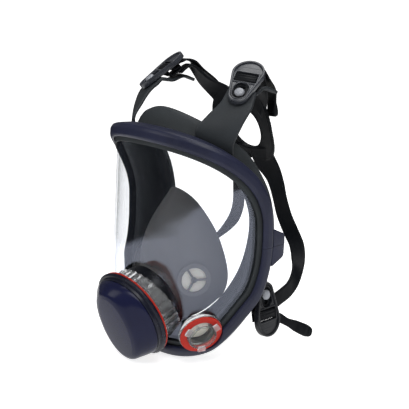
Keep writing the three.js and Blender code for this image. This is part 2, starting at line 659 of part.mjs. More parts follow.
// ---------------------------------------------------------------- filter ports
function addFilterPort(side) {
  const place = cheekAxes(side);
  const name = sideName(side);
  const ring = turned([[PORT_BORE_R, -6.5], [PORT_NECK_R, -6.5], [PORT_NECK_R, GAP], [PORT_FLANGE_R, GAP],
    [PORT_FLANGE_R, 2.6], [PORT_NECK_R, 2.6], [PORT_NECK_R, 8.4], [PORT_BORE_R, 8.4]]);
  const lugs = [0, 1, 2].map((k) => (
    new THREE.BoxGeometry(6, 2, 4).translate(0, 7.2, 15).rotateY((k * 2 * Math.PI) / 3 + 0.6)));
  const web = [0, 1, 2].map((k) => (
    new THREE.BoxGeometry(1.6, 1.6, 13).translate(0, -4.2, 6.4).rotateY((k * 2 * Math.PI) / 3)));
  const pin = turned([[0, -9.2], [2.6, -9.2], [2.6, -8.5], [1.2, -8.5], [1.2, -5], [2.4, -5], [2.4, -3.4],
    [0, -3.4]], 12);
  add(`filter_port_${name}`, join(ring, ...lugs, ...web, pin), 'lens', place);
  const [inner, outer] = PORT_GASKET_R;
  const gasket = turned([[inner, 2.9], [outer, 2.9], [outer, 4.6], [inner, 4.6]]);
  add(`filter_gasket_${name}`, gasket, 'red', place);
  const disc = turned([[1.5, -6.1], [11.2, -6.1], [11.2, -5.3], [1.5, -5.3]], 16);
  add(`port_valve_disc_${name}`, disc, 'ivory', place);
}

// ---------------------------------------------------------------- nose cup and its valves
const CUP_LIP = [
  [0, -35, 22], [17, -28, 12], [34, -21, -12], [42, -16, -38],
  [43, -14, -58], [37, -16, -74], [22, -20, -85], [0, -23, -89],
];
const CUP_MIDDLE = [
  [0, -64, -10], [22, -58, -12], [38, -50, -28], [43, -42, -52],
  [41, -36, -72], [31, -34, -90], [17, -35, -100], [0, -36, -103],
];
const CUP_SHEET = 2;
const CUP_STEPS = 26;
const CUP_VALVE = { turn: 0.2, along: 0.43, ringR: 15.5, holeR: 13.6, discR: 12, boreR: 11.2 };
const cupLip = loopCurve(CUP_LIP);
const cupMiddle = loopCurve(CUP_MIDDLE);

// The cup's surface: from its neck on the port tube (along 0) to its lip on the face (along 1).
function cupPoint(turn, along) {
  const angle = turn * 2 * Math.PI;
  const radius = NECK_R + GAP + CUP_SHEET / 2;
  const [across, down] = [radius * Math.sin(angle), -radius * Math.cos(angle)];
  const neck = (height) => V(across, height, down).applyMatrix4(centreAxes);
  const start = neck(-33.5);
  const from = 0.14;
  if (along < from) return neck(-29).lerp(start, along / from);
  const t = (along - from) / (1 - from);
  const middle = cupMiddle.getPoint(turn);
  const lip = cupLip.getPoint(turn);
  start.multiplyScalar((1 - t) ** 2).addScaledVector(middle, 2 * t * (1 - t));
  return start.addScaledVector(lip, t * t);
}

function cupValveAxes(side) {
  const { turn, along } = CUP_VALVE;
  const at = cupPoint(turn, along);
  const round = cupPoint(turn + 0.02, along).sub(cupPoint(turn - 0.02, along));
  const down = cupPoint(turn, along + 0.03).sub(cupPoint(turn, along - 0.03));
  const out = round.cross(down).normalize();
  if (out.x < 0) out.negate();
  return axes(mirrored(at.toArray(), side), mirrored(out.toArray(), side), V(0, 0, 1));
}

function addNoseCup() {
  const rows = [0, 0.14, 0.25, 0.4, 0.55, 0.7, 0.85, 1];
  const grid = rows.map((along) => Array.from({ length: CUP_STEPS }, (_, i) => (
    cupPoint(i / CUP_STEPS, along))));
  const holes = SIDES.map((side) => placed(rod(CUP_VALVE.holeR + GAP, -12, 12), cupValveAxes(side)));
  add('nose_cup', cut(thickened(grid, CUP_SHEET, true), ...holes), 'cup');
  for (const side of SIDES) {
    const place = cupValveAxes(side);
    const { holeR, discR, ringR, boreR } = CUP_VALVE;
    const rim = turned([[boreR, -3.4], [holeR, -3.4], [holeR, 2.6], [ringR, 2.6], [ringR, 3.6],
      [boreR, 3.6]]);
    const spokes = [0, 1, 2].map((k) => (
      new THREE.BoxGeometry(1.5, 1.4, 12).translate(0, 2.9, 5.9).rotateY((k * 2 * Math.PI) / 3)));
    const pin = turned([[0, -2.2], [2.2, -2.2], [2.2, -1.4], [1.1, -1.4], [1.1, 2.4], [2, 2.4], [2, 3.6],
      [0, 3.6]], 10);
    const pocket = turned([[0, -4], [discR + GAP, -4], [discR + GAP, 1.6], [0, 1.6]]);
    const seat = join(cut(join(rim, ...spokes), pocket), pin);
    add(`cup_valve_seat_${sideName(side)}`, seat, 'cup', place);
    const disc = turned([[1.4, 0.5], [discR, 0.5], [discR, 1.3], [1.4, 1.3]], 16);
    add(`cup_valve_disc_${sideName(side)}`, disc, 'ivory', place);
  }
}

// ---------------------------------------------------------------- head harness
const HARNESS_HOLE = { z: 64, y: 57.5, radius: 18 };
const HARNESS_LEAN = -0.28;
const HARNESS_CURVE = 170;
const panelPoint = (x, z) => (
  V(x, HARNESS_HOLE.y + HARNESS_LEAN * (z - HARNESS_HOLE.z) - (x * x) / HARNESS_CURVE, z));

function harnessPanel() {
  const rings = [0, 0.33, 0.66, 1];
  const steps = 28;
  const grid = rings.map((r) => Array.from({ length: steps }, (_, i) => {
    const turn = (i / steps) * 2 * Math.PI;
    const s = Math.sin(turn);
    const c = Math.cos(turn);
    const outerX = 37 * power(s, 0.7);
    const outerZ = (c > 0 ? 39 : 30) * power(c, 0.7);
    const hole = HARNESS_HOLE.radius;
    return panelPoint(THREE.MathUtils.lerp(hole * s, outerX, r),
      HARNESS_HOLE.z + THREE.MathUtils.lerp(hole * c, outerZ, r));
  }));
  return thickened(grid, STRAP_THICKNESS, true);
}

const UPPER_STRAP = [
  { at: [16, 50, 88], across: [0.7, -0.1, -0.7], width: 27 },
  { at: [26, 44, 97], across: [0.75, 0, -0.6], width: 24 },
  { at: [35, 34, 107], across: [0.85, 0.2, -0.4], width: 20 },
  { at: byStud(UPPER, 37.5, -9.5), across: UPPER_ACROSS, width: 18 },
  { at: byStud(UPPER, 30.5, STRAP_IN), across: UPPER_ACROSS, width: 18 },
];
const LEG = [
  { at: [12.5, 59, 47], across: [0.97, 0, 0.1], width: 29 },
  { at: [17.5, 65, 30], across: [0.96, 0.1, 0.1], width: 28 },
  { at: [23.5, 70, 15.5], across: [0.95, 0.1, 0.15], width: 20 },
  { at: [27, 73, -1.6], across: [0.95, 0.1, 0.15], width: 17.5 },
  { at: [30.5, 76, -18.7], across: [0.93, 0.15, 0.2], width: 18 },
  { at: [37.5, 78, -33.7], across: [0.88, 0.25, 0.3], width: 17.5 },
  { at: [46, 77, -45.3], across: [0.83, 0.35, 0.15], width: 17 },
  { at: [54.3, 70, -56.7], across: [0.75, 0.4, -0.15], width: 16 },
  { at: [62.1, 58, -68], across: [0.5, 0.1, -0.8], width: 15.5 },
  { at: [68.4, 42, -75], across: [0.2, 0, -0.97], width: 15 },
  { at: [71, 29, -79], across: [0, 0, -1], width: 15 },
  { at: [72, 18.5, -81.5], across: [0, 0, -1], width: 15 },
];

function addHarness() {
  const straps = SIDES.flatMap((side) => [
    ribbon(UPPER_STRAP, STRAP_THICKNESS, 10, side), ribbon(LEG, STRAP_THICKNESS, 20, side)]);
  add('head_harness', join(harnessPanel(), ...straps), 'harness');
}

// Free ends of the straps, with a thick finger grip.
const UPPER_TAIL = [
  { at: byStud(UPPER, 30.5, STRAP_OUT), across: UPPER_ACROSS, width: 17 },
  { at: byStud(UPPER, 37, -3), across: UPPER_ACROSS, width: 17 },
  { at: byStud(UPPER, 42, -9), across: UPPER_ACROSS, width: 17 },
  { at: [41.5, 32, 118], across: [0.93, 0.1, -0.1], width: 17 },
  { at: [37.5, 46, 105.5], across: [0.93, -0.1, 0], width: 17 },
  { at: [33, 53.5, 92], across: [0.93, -0.3, 0.1], width: 17 },
  { at: [33, 55, 79.5], across: [0.93, -0.3, 0.1], width: 17 },
];
const LOWER_TAIL = [
  { at: [75.2, 20, -95.3], across: [0, 0.4, 0.9], width: 10 },
  { at: [79, 28, -101], across: [0, 0.4, 0.9], width: 11 },
  { at: [83.3, 38, -108], across: [0, 0.4, 0.9], width: 13 },
  { at: [89, 50, -115.5], across: [0, 0.4, 0.9], width: 13 },
];
const GRIP_THICKNESS = 6;
const GRIP_FROM = { upper: 0.8, lower: 0.42 };
function addTails() {
  for (const side of SIDES) {
    for (const [level, route] of [['upper', UPPER_TAIL], ['lower', LOWER_TAIL]]) {
      const thicknessAt = (share) => (share > GRIP_FROM[level] ? GRIP_THICKNESS : TAIL_THICKNESS);
      add(`strap_tail_${level}_${sideName(side)}`, ribbonOf(route, thicknessAt, 12, side), 'harness');
    }
  }
}

addLens();
addFrame();
addSeal();
addCentrePort();
SIDES.forEach(addFilterPort);
addNoseCup();
addHarness();
addTails();
addBuckles();

export default respirator;
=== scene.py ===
"""Full face respirator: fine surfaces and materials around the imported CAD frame.

Shapes are worked out in millimetres in the row frame (+X the wearer's left, -Y ahead, +Z up) and are
scaled to metres when a piece is made.
"""
import json
import math
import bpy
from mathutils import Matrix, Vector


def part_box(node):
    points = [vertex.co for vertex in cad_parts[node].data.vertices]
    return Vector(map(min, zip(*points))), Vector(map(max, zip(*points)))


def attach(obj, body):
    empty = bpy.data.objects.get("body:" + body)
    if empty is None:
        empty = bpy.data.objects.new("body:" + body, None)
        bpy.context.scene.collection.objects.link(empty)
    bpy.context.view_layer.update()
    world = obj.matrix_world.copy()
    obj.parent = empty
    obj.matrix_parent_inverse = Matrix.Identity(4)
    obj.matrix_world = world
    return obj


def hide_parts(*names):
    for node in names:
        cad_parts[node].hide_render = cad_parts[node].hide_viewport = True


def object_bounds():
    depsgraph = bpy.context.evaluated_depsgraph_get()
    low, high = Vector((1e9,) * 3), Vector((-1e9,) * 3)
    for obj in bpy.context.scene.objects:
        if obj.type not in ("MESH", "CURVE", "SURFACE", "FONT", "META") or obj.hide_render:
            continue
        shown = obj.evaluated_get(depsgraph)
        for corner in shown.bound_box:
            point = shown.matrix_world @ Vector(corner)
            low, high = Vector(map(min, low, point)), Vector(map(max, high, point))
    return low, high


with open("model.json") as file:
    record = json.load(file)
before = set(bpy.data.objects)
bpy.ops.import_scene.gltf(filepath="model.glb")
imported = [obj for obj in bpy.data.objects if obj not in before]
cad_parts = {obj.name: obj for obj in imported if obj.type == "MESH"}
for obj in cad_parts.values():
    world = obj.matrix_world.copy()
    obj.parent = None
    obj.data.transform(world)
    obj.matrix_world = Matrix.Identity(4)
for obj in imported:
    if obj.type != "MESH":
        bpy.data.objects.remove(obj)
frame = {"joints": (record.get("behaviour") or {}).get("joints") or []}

from types import SimpleNamespace

import bmesh
import bpy
import numpy as np
from mathutils import Vector

cad_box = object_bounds()

MM = 0.001
TURN = 2 * math.pi
GAP = 0.3
SIDES = {"left": 1, "right": -1}
ROOT = "mask"

# Driving dimensions, as in the CAD part.
LENS_BACK_Y = -4
LENS_SECTIONS = np.array([  # z, half width, depth, squareness
    (-124, 55, 53, 2.3), (-100, 70, 63, 2.5), (-76, 80, 71, 2.7), (-40, 83.5, 72, 2.4),
    (0, 84, 71, 2.2), (50, 82, 70, 2.1), (84, 79, 69, 2.1),
])
LENS_THICKNESS = 2
LENS_TOP_Z, LENS_CHIN_Z = 80, -121
BROW_SQUARENESS, CHIN_SQUARENESS = 2.05, 2.8
SIDE_ANGLE = math.radians(89)
CREASE = 2
STATIONS = 264

FRAME_SPLIT_Z = -20
FRAME_SECTION = [
    (-8.6, 2.5), (-8.2, 4.9), (-5.5, 6.6), (0.5, 6.6), (3.6, 4.6),
    (4.2, 1), (4.2, -8), (-3.4, -8), (-3.4, -5.6), (1.9, -5.6), (1.9, 2.5),
]
LUG = SimpleNamespace(x=84, y=4.6, thickness=12, screw=1.5, head=3, nut=2.9)
SEAL_SHEET = 2.4

COLLAR_R = (33.2, 36)
BARREL_FLUTES = 30
FLANGE_R = 41.5
NECK_R = 24
PORT_BORE_R, PORT_NECK_R, PORT_FLANGE_R = 11.8, 14.6, 19.6
PORT_GASKET_R = (13.1, 19.1)

TAB_THICKNESS = 3
PLATE_FROM = TAB_THICKNESS / 2 + 0.6
BUCKLE_THICKNESS = 4.4
PLATE_TO = PLATE_FROM + BUCKLE_THICKNESS
STRAP_THICKNESS = 2.4
HARNESS_SHEET = STRAP_THICKNESS + 0.3
STRAP_IN, STRAP_OUT = -4.3, -1.7


# Vectors, places and curves.
def unit(v):
    v = np.asarray(v, float)
    return v / np.maximum(np.linalg.norm(v, axis=-1, keepdims=True), 1e-12)


def power(value, exponent):
    return np.sign(value) * np.abs(value) ** exponent


def mirrored(points, side):
    return np.asarray(points, float) * (side, 1, 1)


class Place:
    """Axes at a point: y along the given axis, x nearest to the given direction across it."""

    def __init__(self, origin, axis, across):
        self.origin = np.asarray(origin, float)
        self.y = unit(axis)
        across = np.asarray(across, float)
        self.x = unit(across - self.y * (across @ self.y))
        self.z = np.cross(self.x, self.y)

    def at(self, points):
        p = np.asarray(points, float)
        return self.origin + p[..., :1] * self.x + p[..., 1:2] * self.y + p[..., 2:] * self.z

    def inside(self, points):
        p = np.asarray(points, float) - self.origin
        return np.stack([p @ self.x, p @ self.y, p @ self.z], -1)


def hermite(a, b, start, end, w):
    w = w[:, None]
    return (a + start * w + (3 * (b - a) - 2 * start - end) * w**2
            + (2 * (a - b) + start + end) * w**3)


def loop_curve(points, shares):
    """Points at shares of the way round a smooth closed loop."""
    p = np.asarray(points, float)
    t = np.mod(shares, 1) * len(p)
    i = np.floor(t).astype(int)
    before, a, b, after = (p[(i + k) % len(p)] for k in (-1, 0, 1, 2))
    return hermite(a, b, (b - before) / 2, (after - a) / 2, t - i)


def open_curve(points, shares):
    """Points at shares of the way along a smooth open line."""
    p = np.asarray(points, float)
    p = np.vstack([2 * p[0] - p[1], p, 2 * p[-1] - p[-2]])
    t = np.clip(shares, 0, 1) * (len(p) - 3)
    i = np.minimum(np.floor(t).astype(int), len(p) - 4)
    before, a, b, after = (p[i + k] for k in range(4))
    d0, d1, d2 = (np.linalg.norm(v - u, axis=1)[:, None] ** 0.5
                  for u, v in ((before, a), (a, b), (b, after)))
    d1 = np.where(d1 < 1e-4, 1, d1)
    d0, d2 = np.where(d0 < 1e-4, d1, d0), np.where(d2 < 1e-4, d1, d2)
    start = ((a - before) / d0 - (b - before) / (d0 + d1) + (b - a) / d1) * d1
    end = ((b - a) / d1 - (after - a) / (d1 + d2) + (after - b) / d2) * d1
    return hermite(a, b, start, end, t - i)


def half_loop(half):
    """All the points of a loop from those on the wearer's left, top to bottom."""
    half = np.asarray(half, float)
    return np.vstack([half, mirrored(half[1:-1][::-1], -1)])


def rounded(outline, radius, steps=4, closed=True):
    """An outline of two-number points with its corners rounded."""
    p = np.asarray(outline, float)
    made = []
    for k, corner in enumerate(p):
        if (not closed and k in (0, len(p) - 1)) or corner[0] == 0:
            made.append(corner)
            continue
        before, after = p[k - 1] - corner, p[(k + 1) % len(p)] - corner
        reach = min(radius, 0.45 * np.linalg.norm(before), 0.45 * np.linalg.norm(after))
        a, b = corner + unit(before) * reach, corner + unit(after) * reach
        for t in np.linspace(0, 1, steps + 1):
            made.append(a * (1 - t) ** 2 + corner * 2 * t * (1 - t) + b * t**2)
    return np.array(made)


def offset_loop(points, amount):
    """A closed anticlockwise loop moved outwards by an amount."""
    p = np.asarray(points, float)
    along = unit(np.roll(p, -1, 0) - np.roll(p, 1, 0))
    return p + amount * np.stack([along[:, 1], -along[:, 0]], -1)


def arc(centre, radius, start, end, steps):
    turns = np.linspace(start, end, steps + 1)
    return np.stack([centre[0] + radius * np.cos(turns), centre[1] + radius * np.sin(turns)], -1)


# Solids: (points, faces).
def swept(sections, closed):
    """A closed outline carried through stations: sections holds stations x corners x 3."""
    s = np.asarray(sections, float)
    stations, corners = s.shape[:2]
    faces = []
    for a in range(stations if closed else stations - 1):
        b = (a + 1) % stations
        for k in range(corners):
            m = (k + 1) % corners
            faces.append((a * corners + k, b * corners + k, b * corners + m, a * corners + m))
    if not closed:
        faces += [tuple(range(corners)), tuple(range(stations * corners - 1, (stations - 1) * corners - 1, -1))]
    return s.reshape(-1, 3), faces


def sheet_between(outer, inner):
    """A sheet between two grids of rows that go all the way round, joined at its rims."""
    ring = np.concatenate([outer, inner[::-1]], 0)
    return swept(ring.transpose(1, 0, 2), True)


def grid_normals(grid):
    """Normals of a grid whose columns go all the way round."""
    up = np.gradient(grid, axis=0)
    along = np.roll(grid, -1, 1) - np.roll(grid, 1, 1)
    return unit(np.cross(along, up))


def turned(profile, place, segments=96, fillet=0.35):
    """A turned piece from a closed profile of (radius, height) corners about the place's y."""
    outline = rounded(profile, fillet) if fillet else np.asarray(profile, float)
    turns = np.arange(segments) / segments * TURN
    r, h = outline[None, :, 0], outline[None, :, 1]
    sections = np.stack([r * np.sin(turns)[:, None], h + 0 * turns[:, None], r * np.cos(turns)[:, None]], -1)
    return swept(place.at(sections), True)


def hoop(inner, outer, low, high, place, segments=96, fillet=0):
    """A turned piece with a plain rectangle for its profile: a ring, a disc or a rod."""
    return turned([(inner, low), (outer, low), (outer, high), (inner, high)], place, segments, fillet)


def block(size, centre, place, turn=0.0, bevel=0.3):
    """A bar with rounded edges, turned about the place's y."""
    bm = bmesh.new()
    bmesh.ops.create_cube(bm, size=1)
    for v in bm.verts:
        v.co = Vector([v.co[k] * size[k] + centre[k] for k in range(3)])
    if bevel:
        bmesh.ops.bevel(bm, geom=bm.edges[:], offset=bevel, segments=3, profile=0.5, affect="EDGES")
    bm.verts.index_update()
    points = np.array([v.co[:] for v in bm.verts])
    faces = [tuple(v.index for v in f.verts) for f in bm.faces]
    bm.free()
    c, s = math.cos(turn), math.sin(turn)
    x, z = points[:, 0] * c + points[:, 2] * s, points[:, 2] * c - points[:, 0] * s
    return place.at(np.stack([x, points[:, 1], z], -1)), faces


def thirds(size, centre, place, bevel, start=0.0):
    """Three bars, evenly round the place's y."""
    return [block(size, centre, place, k * TURN / 3 + start, bevel) for k in range(3)]


def linked(name, data):
    made = bpy.data.objects.new(name, data)
    bpy.context.scene.collection.objects.link(made)
    return made


def evaluated(holder):
    """The mesh of an object with its modifiers or bevel worked out."""
    return bpy.data.meshes.new_from_object(holder.evaluated_get(bpy.context.evaluated_depsgraph_get()))


def plate(outlines, low, high, bevel, place):
    """A flat plate with rounded edges: the first loop of (x, z) points is its outside, the rest are holes."""
    curve = bpy.data.curves.new("outline", "CURVE")
    curve.dimensions = "2D"
    curve.fill_mode = "BOTH"
    curve.extrude = (high - low) / 2 - bevel
    curve.bevel_depth = bevel
    curve.bevel_resolution = 2
    for k, loop in enumerate(outlines):
        loop = offset_loop(loop, bevel if k else -bevel)
        spline = curve.splines.new("POLY")
        spline.points.add(len(loop) - 1)
        for point, (x, z) in zip(spline.points, loop):
            point.co = (x, z, 0, 1)
        spline.use_cyclic_u = True
    holder = linked("outline", curve)
    mesh = evaluated(holder)
    flat = np.array([v.co[:] for v in mesh.vertices])
    faces = [tuple(p.vertices) for p in mesh.polygons]
    bpy.data.objects.remove(holder)
    bpy.data.curves.remove(curve)
    bpy.data.meshes.remove(mesh)
    return place.at(np.stack([flat[:, 0], flat[:, 2] + (low + high) / 2, flat[:, 1]], -1)), faces


def band_outline(half, depth, end_steps=5):
    """The corners of a flat band's section with round edges: (across, through) pairs for all stations."""
    e = np.minimum(depth, half * 0.5)
    turns = np.linspace(-math.pi / 2, math.pi / 2, end_steps * 2 + 1)
    right = [(half - e + e * math.cos(a), math.sin(a) * depth) for a in turns]
    return right + [(-x, n) for x, n in right[::-1]]


def ribbon(stations, steps, side, thickness):
    """A flat strap through stations of (at, across, width), smooth between them and round at its edges.

    Its thickness is a number, or a function of the share of the way along."""
    shares = np.linspace(0, 1, steps + 1)
    path = open_curve([mirrored(s[0], side) for s in stations], shares)
    halves = open_curve([mirrored(s[1], side) * s[2] / 2 for s in stations], shares)
    tangent = unit(np.gradient(path, axis=0))
    through = unit(np.cross(tangent, halves))
    across = unit(halves)
    depth = (thickness(shares) if callable(thickness) else np.full(steps + 1, float(thickness))) / 2
    corners = band_outline(np.linalg.norm(halves, axis=1), depth)
    sections = [path + across * np.asarray(x)[:, None] + through * np.asarray(n)[:, None] for x, n in corners]
    return swept(np.stack(sections, 1), False)


# Making pieces.
def tidy(mesh, angle):
    bm = bmesh.new()
    bm.from_mesh(mesh)
    bmesh.ops.remove_doubles(bm, verts=bm.verts, dist=0.004 * MM)
    bmesh.ops.dissolve_degenerate(bm, edges=bm.edges, dist=0.002 * MM)
    bmesh.ops.recalc_face_normals(bm, faces=bm.faces)
    bm.to_mesh(mesh)
    bm.free()
    mesh.shade_smooth()
    mesh.set_sharp_from_angle(angle=math.radians(angle))


def raw(name, solids, angle=40):
    points, faces, start = [], [], 0
    for p, f in solids:
        points.append(np.asarray(p) * MM)
        faces += [tuple(int(i) + start for i in face) for face in f]
        start += len(p)
    mesh = bpy.data.meshes.new(name)
    mesh.from_pydata(np.vstack(points).tolist(), [], faces)
    tidy(mesh, angle)
    return linked(name, mesh)


def baked(piece, angle=40):
    """The piece with its modifiers applied."""
    mesh = evaluated(piece)
    piece.modifiers.clear()
    piece.data = mesh
    tidy(mesh, angle)
    return piece


def carve(piece, tools, angle=40):
    """Cuts each of the solids away in turn."""
    for solid in tools:
        tool = raw("tool", [solid])
        step = piece.modifiers.new("cut", "BOOLEAN")
        step.operation = "DIFFERENCE"
        step.solver = "EXACT"
        step.object = tool
        baked(piece, angle)
        bpy.data.objects.remove(tool)
    return piece


def gathered(name, pieces, angle=40):
    """One piece from several that run into each other."""
    bm = bmesh.new()
    for piece in pieces:
        bm.from_mesh(piece.data)
        bpy.data.objects.remove(piece)
    mesh = bpy.data.meshes.new(name)
    bm.to_mesh(mesh)
    bm.free()
    mesh.set_sharp_from_angle(angle=math.radians(angle))
    return linked(name, mesh)


def fused(piece, voxel, smoothing, angle=180):
    """The piece as one continuous moulding, its overlapping solids melted together."""
    remesh = piece.modifiers.new("fuse", "REMESH")
    remesh.mode = "VOXEL"
    remesh.voxel_size = voxel * MM
    smooth = piece.modifiers.new("smooth", "SMOOTH")
    smooth.iterations = smoothing
    smooth.factor = 0.5
    return baked(piece, angle)


def place_piece(piece, look, stands_for=(), body=ROOT):
    piece.data.materials.clear()
    piece.data.materials.append(look)
    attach(piece, body)
    if stands_for:
        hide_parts(*stands_for)


def make(name, solids, look, stands_for=(), body=ROOT, angle=40):
    place_piece(raw(name, solids, angle), look, stands_for, body)


# Materials.
def linear(red, green, blue):
    """A screen colour of 0 to 255 as a linear one."""
    return tuple(((c / 255 + 0.055) / 1.055) ** 2.4 if c > 10 else c / 255 / 12.92 for c in (red, green, blue))


class Look:
    """A material under construction: nodes by short calls, wired as they are made."""

    def __init__(self, name):
        self.material = bpy.data.materials.new(name)
        self.material.use_nodes = True
        self.tree = self.material.node_tree
        self.tree.nodes.clear()
        self.output = self.node("ShaderNodeOutputMaterial")
        self.place = self.node("ShaderNodeTexCoord").outputs["Object"]

    def node(self, kind, **inputs):
        made = self.tree.nodes.new(kind)
        for key, value in inputs.items():
            self.wire(made.inputs[key.replace("_", " ")], value)
        return made

    def wire(self, socket, value):
        if isinstance(value, bpy.types.NodeSocket):
            self.tree.links.new(value, socket)
        elif value is not None:
            socket.default_value = value

    def noise(self, size, detail=3.0, roughness=0.5, stretch=None):
        """Noise of a given grain size in millimetres."""
        place = self.place
        if stretch:
            place = self.node("ShaderNodeMapping", Vector=place, Scale=stretch).outputs["Vector"]
        return self.node("ShaderNodeTexNoise", Vector=place, Scale=1 / (size * MM), Detail=detail,
                         Roughness=roughness).outputs["Fac"]

    def ranged(self, value, low, high, start=0.3, end=0.7):
        return self.node("ShaderNodeMapRange", Value=value, From_Min=start, From_Max=end, To_Min=low,
                         To_Max=high).outputs["Result"]

    def mixed(self, factor, first, second):
        made = self.tree.nodes.new("ShaderNodeMix")
        made.data_type = "RGBA"
        for socket, value in ((0, factor), (6, first), (7, second)):
            self.wire(made.inputs[socket], value)
        return made.outputs[2]

    def bump(self, height, depth, strength=1.0, under=None):
        """A bump from a height of 0 to 1, as deep as so many millimetres."""
        return self.node("ShaderNodeBump", Height=height, Strength=strength, Distance=depth * MM,
                         Normal=under).outputs["Normal"]

    def shaded(self, colour, roughness, normal=None, **constants):
        return self.node("ShaderNodeBsdfPrincipled", Base_Color=colour, Roughness=roughness, Normal=normal,
                         **constants).outputs["BSDF"]

    def fed(self, kind, *values, **settings):
        """The last output of a node whose sockets are filled in order."""
        made = self.tree.nodes.new(kind)
        for key, value in settings.items():
            setattr(made, key, value)
        for socket, value in zip(made.inputs, values):
            self.wire(socket, value)
        return made.outputs[-1]

    def blend(self, share, first, second):
        return self.fed("ShaderNodeMixShader", share, first, second)

    def finished(self, shader):
        self.tree.links.new(shader, self.output.inputs["Surface"])
        return self.material


def moulded(name, tone, roughness, specular, grain, depth, wear=0.0, spread=0.16, smudge=0.08, speckle=0.35,
            **constants):
    """Moulded plastic or rubber: fine grain, slow changes of tone and gloss, and paler worn edges."""
    look = Look(name)
    base = np.array(linear(*tone))
    slow = look.ranged(look.noise(22, 4), 0, 1)
    colour = look.mixed(slow, (*base * (1 - spread), 1), (*np.minimum(base * (1 + spread), 1), 1))
    fine = look.noise(grain, 5, 0.6)
    speckled = look.mixed(look.ranged(fine, 0, speckle, 0.45, 0.75), colour, (*np.minimum(base * 1.5 + 0.01, 1), 1))
    pointed = look.node("ShaderNodeNewGeometry").outputs["Pointiness"]
    edge = look.ranged(pointed, 0, wear, 0.52, 0.62)
    worn = look.mixed(edge, speckled, (*np.minimum(base * 1.9 + 0.02, 1), 1))
    rough = look.ranged(look.noise(9, 5, 0.65), roughness - smudge, roughness + smudge, 0.25, 0.75)
    normal = look.bump(fine, depth)
    normal = look.bump(look.noise(5, 2), depth * 1.6, 0.6, normal)
    return look.finished(look.shaded(worn, rough, normal, Specular_IOR_Level=specular, **constants))


def clear_sheet(name):
    """Hard-coated polycarbonate sheet: seen straight through, mirror-like at a slant, with faint haze."""
    look = Look(name)
    normal = look.bump(look.noise(60, 3), 0.12, 0.5)
    facing = look.node("ShaderNodeLayerWeight", Blend=0.5, Normal=normal).outputs["Facing"]
    slant = look.fed("ShaderNodeMath", facing, 5, operation="POWER")
    share = look.ranged(slant, 0.08, 0.5, 0, 1)
    tint = look.node("ShaderNodeBsdfTransparent", Color=(0.965, 0.97, 0.976, 1)).outputs["BSDF"]
    rough = look.ranged(look.noise(30, 4), 0.02, 0.06)
    mirror = look.shaded((0.74, 0.8, 1, 1), rough, normal, Metallic=1.0)
    film = look.blend(share, tint, mirror)
    haze = look.shaded((0.75, 0.78, 0.82, 1), 0.5)
    share_of_haze = look.ranged(look.noise(14, 5, 0.7), 0.0, 0.004)
    return look.finished(look.blend(share_of_haze, film, haze))


def clear_solid(name, roughness, frost):
    """Thick clear moulding, which bends what is seen through it, lightly frosted in places."""
    look = Look(name)
    rough = look.ranged(look.noise(3, 4, 0.7), roughness, roughness + frost)
    normal = look.bump(look.noise(2.2, 3), 0.05, 0.7)
    return look.finished(look.shaded((0.93, 0.95, 0.965, 1), rough, normal, Transmission_Weight=0.94, IOR=1.46))


def brushed_metal(name):
    look = Look(name)
    lines = look.noise(0.5, 3, 0.6, stretch=(1, 1, 9))
    colour = look.mixed(look.ranged(lines, 0, 1), (0.52, 0.53, 0.55, 1), (0.7, 0.71, 0.73, 1))
    rough = look.ranged(lines, 0.22, 0.4)
    return look.finished(look.shaded(colour, rough, look.bump(lines, 0.01), Metallic=1.0))


NAVY = moulded("navy_plastic", (36, 39, 60), 0.36, 0.28, 0.5, 0.008, 0.25)
COVER_LOOK = moulded("cover_plastic", (25, 28, 57), 0.22, 0.2, 0.4, 0.0008, spread=0.1, smudge=0.04, speckle=0.08)
# The port body's navy, made much darker than the frame's: painted shade, as the flange sits in shadow.
FLANGE_NAVY_PAINTED_SHADE = moulded("flange_plastic_painted_shade", (16, 19, 36), 0.3, 0.3, 0.4, 0.006, 0.25)
SEAL = moulded("seal_rubber", (49, 53, 56), 0.6, 0.25, 0.45, 0.005, 0.12)
TAB = moulded("tab_rubber", (44, 48, 52), 0.5, 0.3, 0.6, 0.01, 0.15)
HARNESS = moulded("harness_rubber", (12, 15, 20), 0.5, 0.18, 0.5, 0.01, 0.1)
BUCKLE_PLASTIC = moulded("buckle_plastic", (50, 53, 60), 0.24, 0.6, 0.8, 0.006, 0.35,
                         Coat_Weight=0.25, Coat_Roughness=0.12)
# A darker copy of the buckle plastic for the lower buckles: painted shade, as these buckles sit in shadow.
BUCKLE_PAINTED_SHADE = moulded("buckle_plastic_painted_shade", (27, 29, 34), 0.3, 0.35, 0.8, 0.006, 0.3)
# A near-black copy of the port body's plastic for its inner tube: painted shade for the dark seen through the clear
# barrel.
TUBE_PAINTED_SHADE = moulded("tube_plastic_painted_shade", (17, 19, 24), 0.25, 0.4, 0.4, 0.003)
STUD_PLASTIC = moulded("stud_plastic", (150, 153, 160), 0.2, 0.5, 0.6, 0.006, 0.1)
RED = moulded("red_rubber", (190, 40, 26), 0.5, 0.25, 0.35, 0.006, 0.1, spread=0.1, speckle=0.15,
              Subsurface_Weight=0.1, Subsurface_Scale=0.002)
CUP = moulded("cup_silicone", (95, 95, 96), 0.55, 0.35, 0.6, 0.015, 0.12, spread=0.08,
              Subsurface_Weight=0.05, Subsurface_Scale=0.003)
IVORY = moulded("ivory_silicone", (240, 236, 222), 0.45, 0.5, 0.7, 0.01, spread=0.05,
                Subsurface_Weight=0.15, Subsurface_Scale=0.002)
LENS_CLEAR = clear_sheet("lens_polycarbonate")
BARREL_CLEAR = clear_solid("barrel_polycarbonate", 0.03, 0.06)
PORT_CLEAR = clear_solid("port_polycarbonate", 0.05, 0.1)
PORT_FROST = clear_solid("frosted_polycarbonate", 0.4, 0.2)
STEEL = brushed_metal("plated_steel")


# Places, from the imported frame.
joints = {j["name"]: j for j in frame["joints"]}


def middle_of(node):
    low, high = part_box(node)
    return np.array((low + high) / 2) / MM


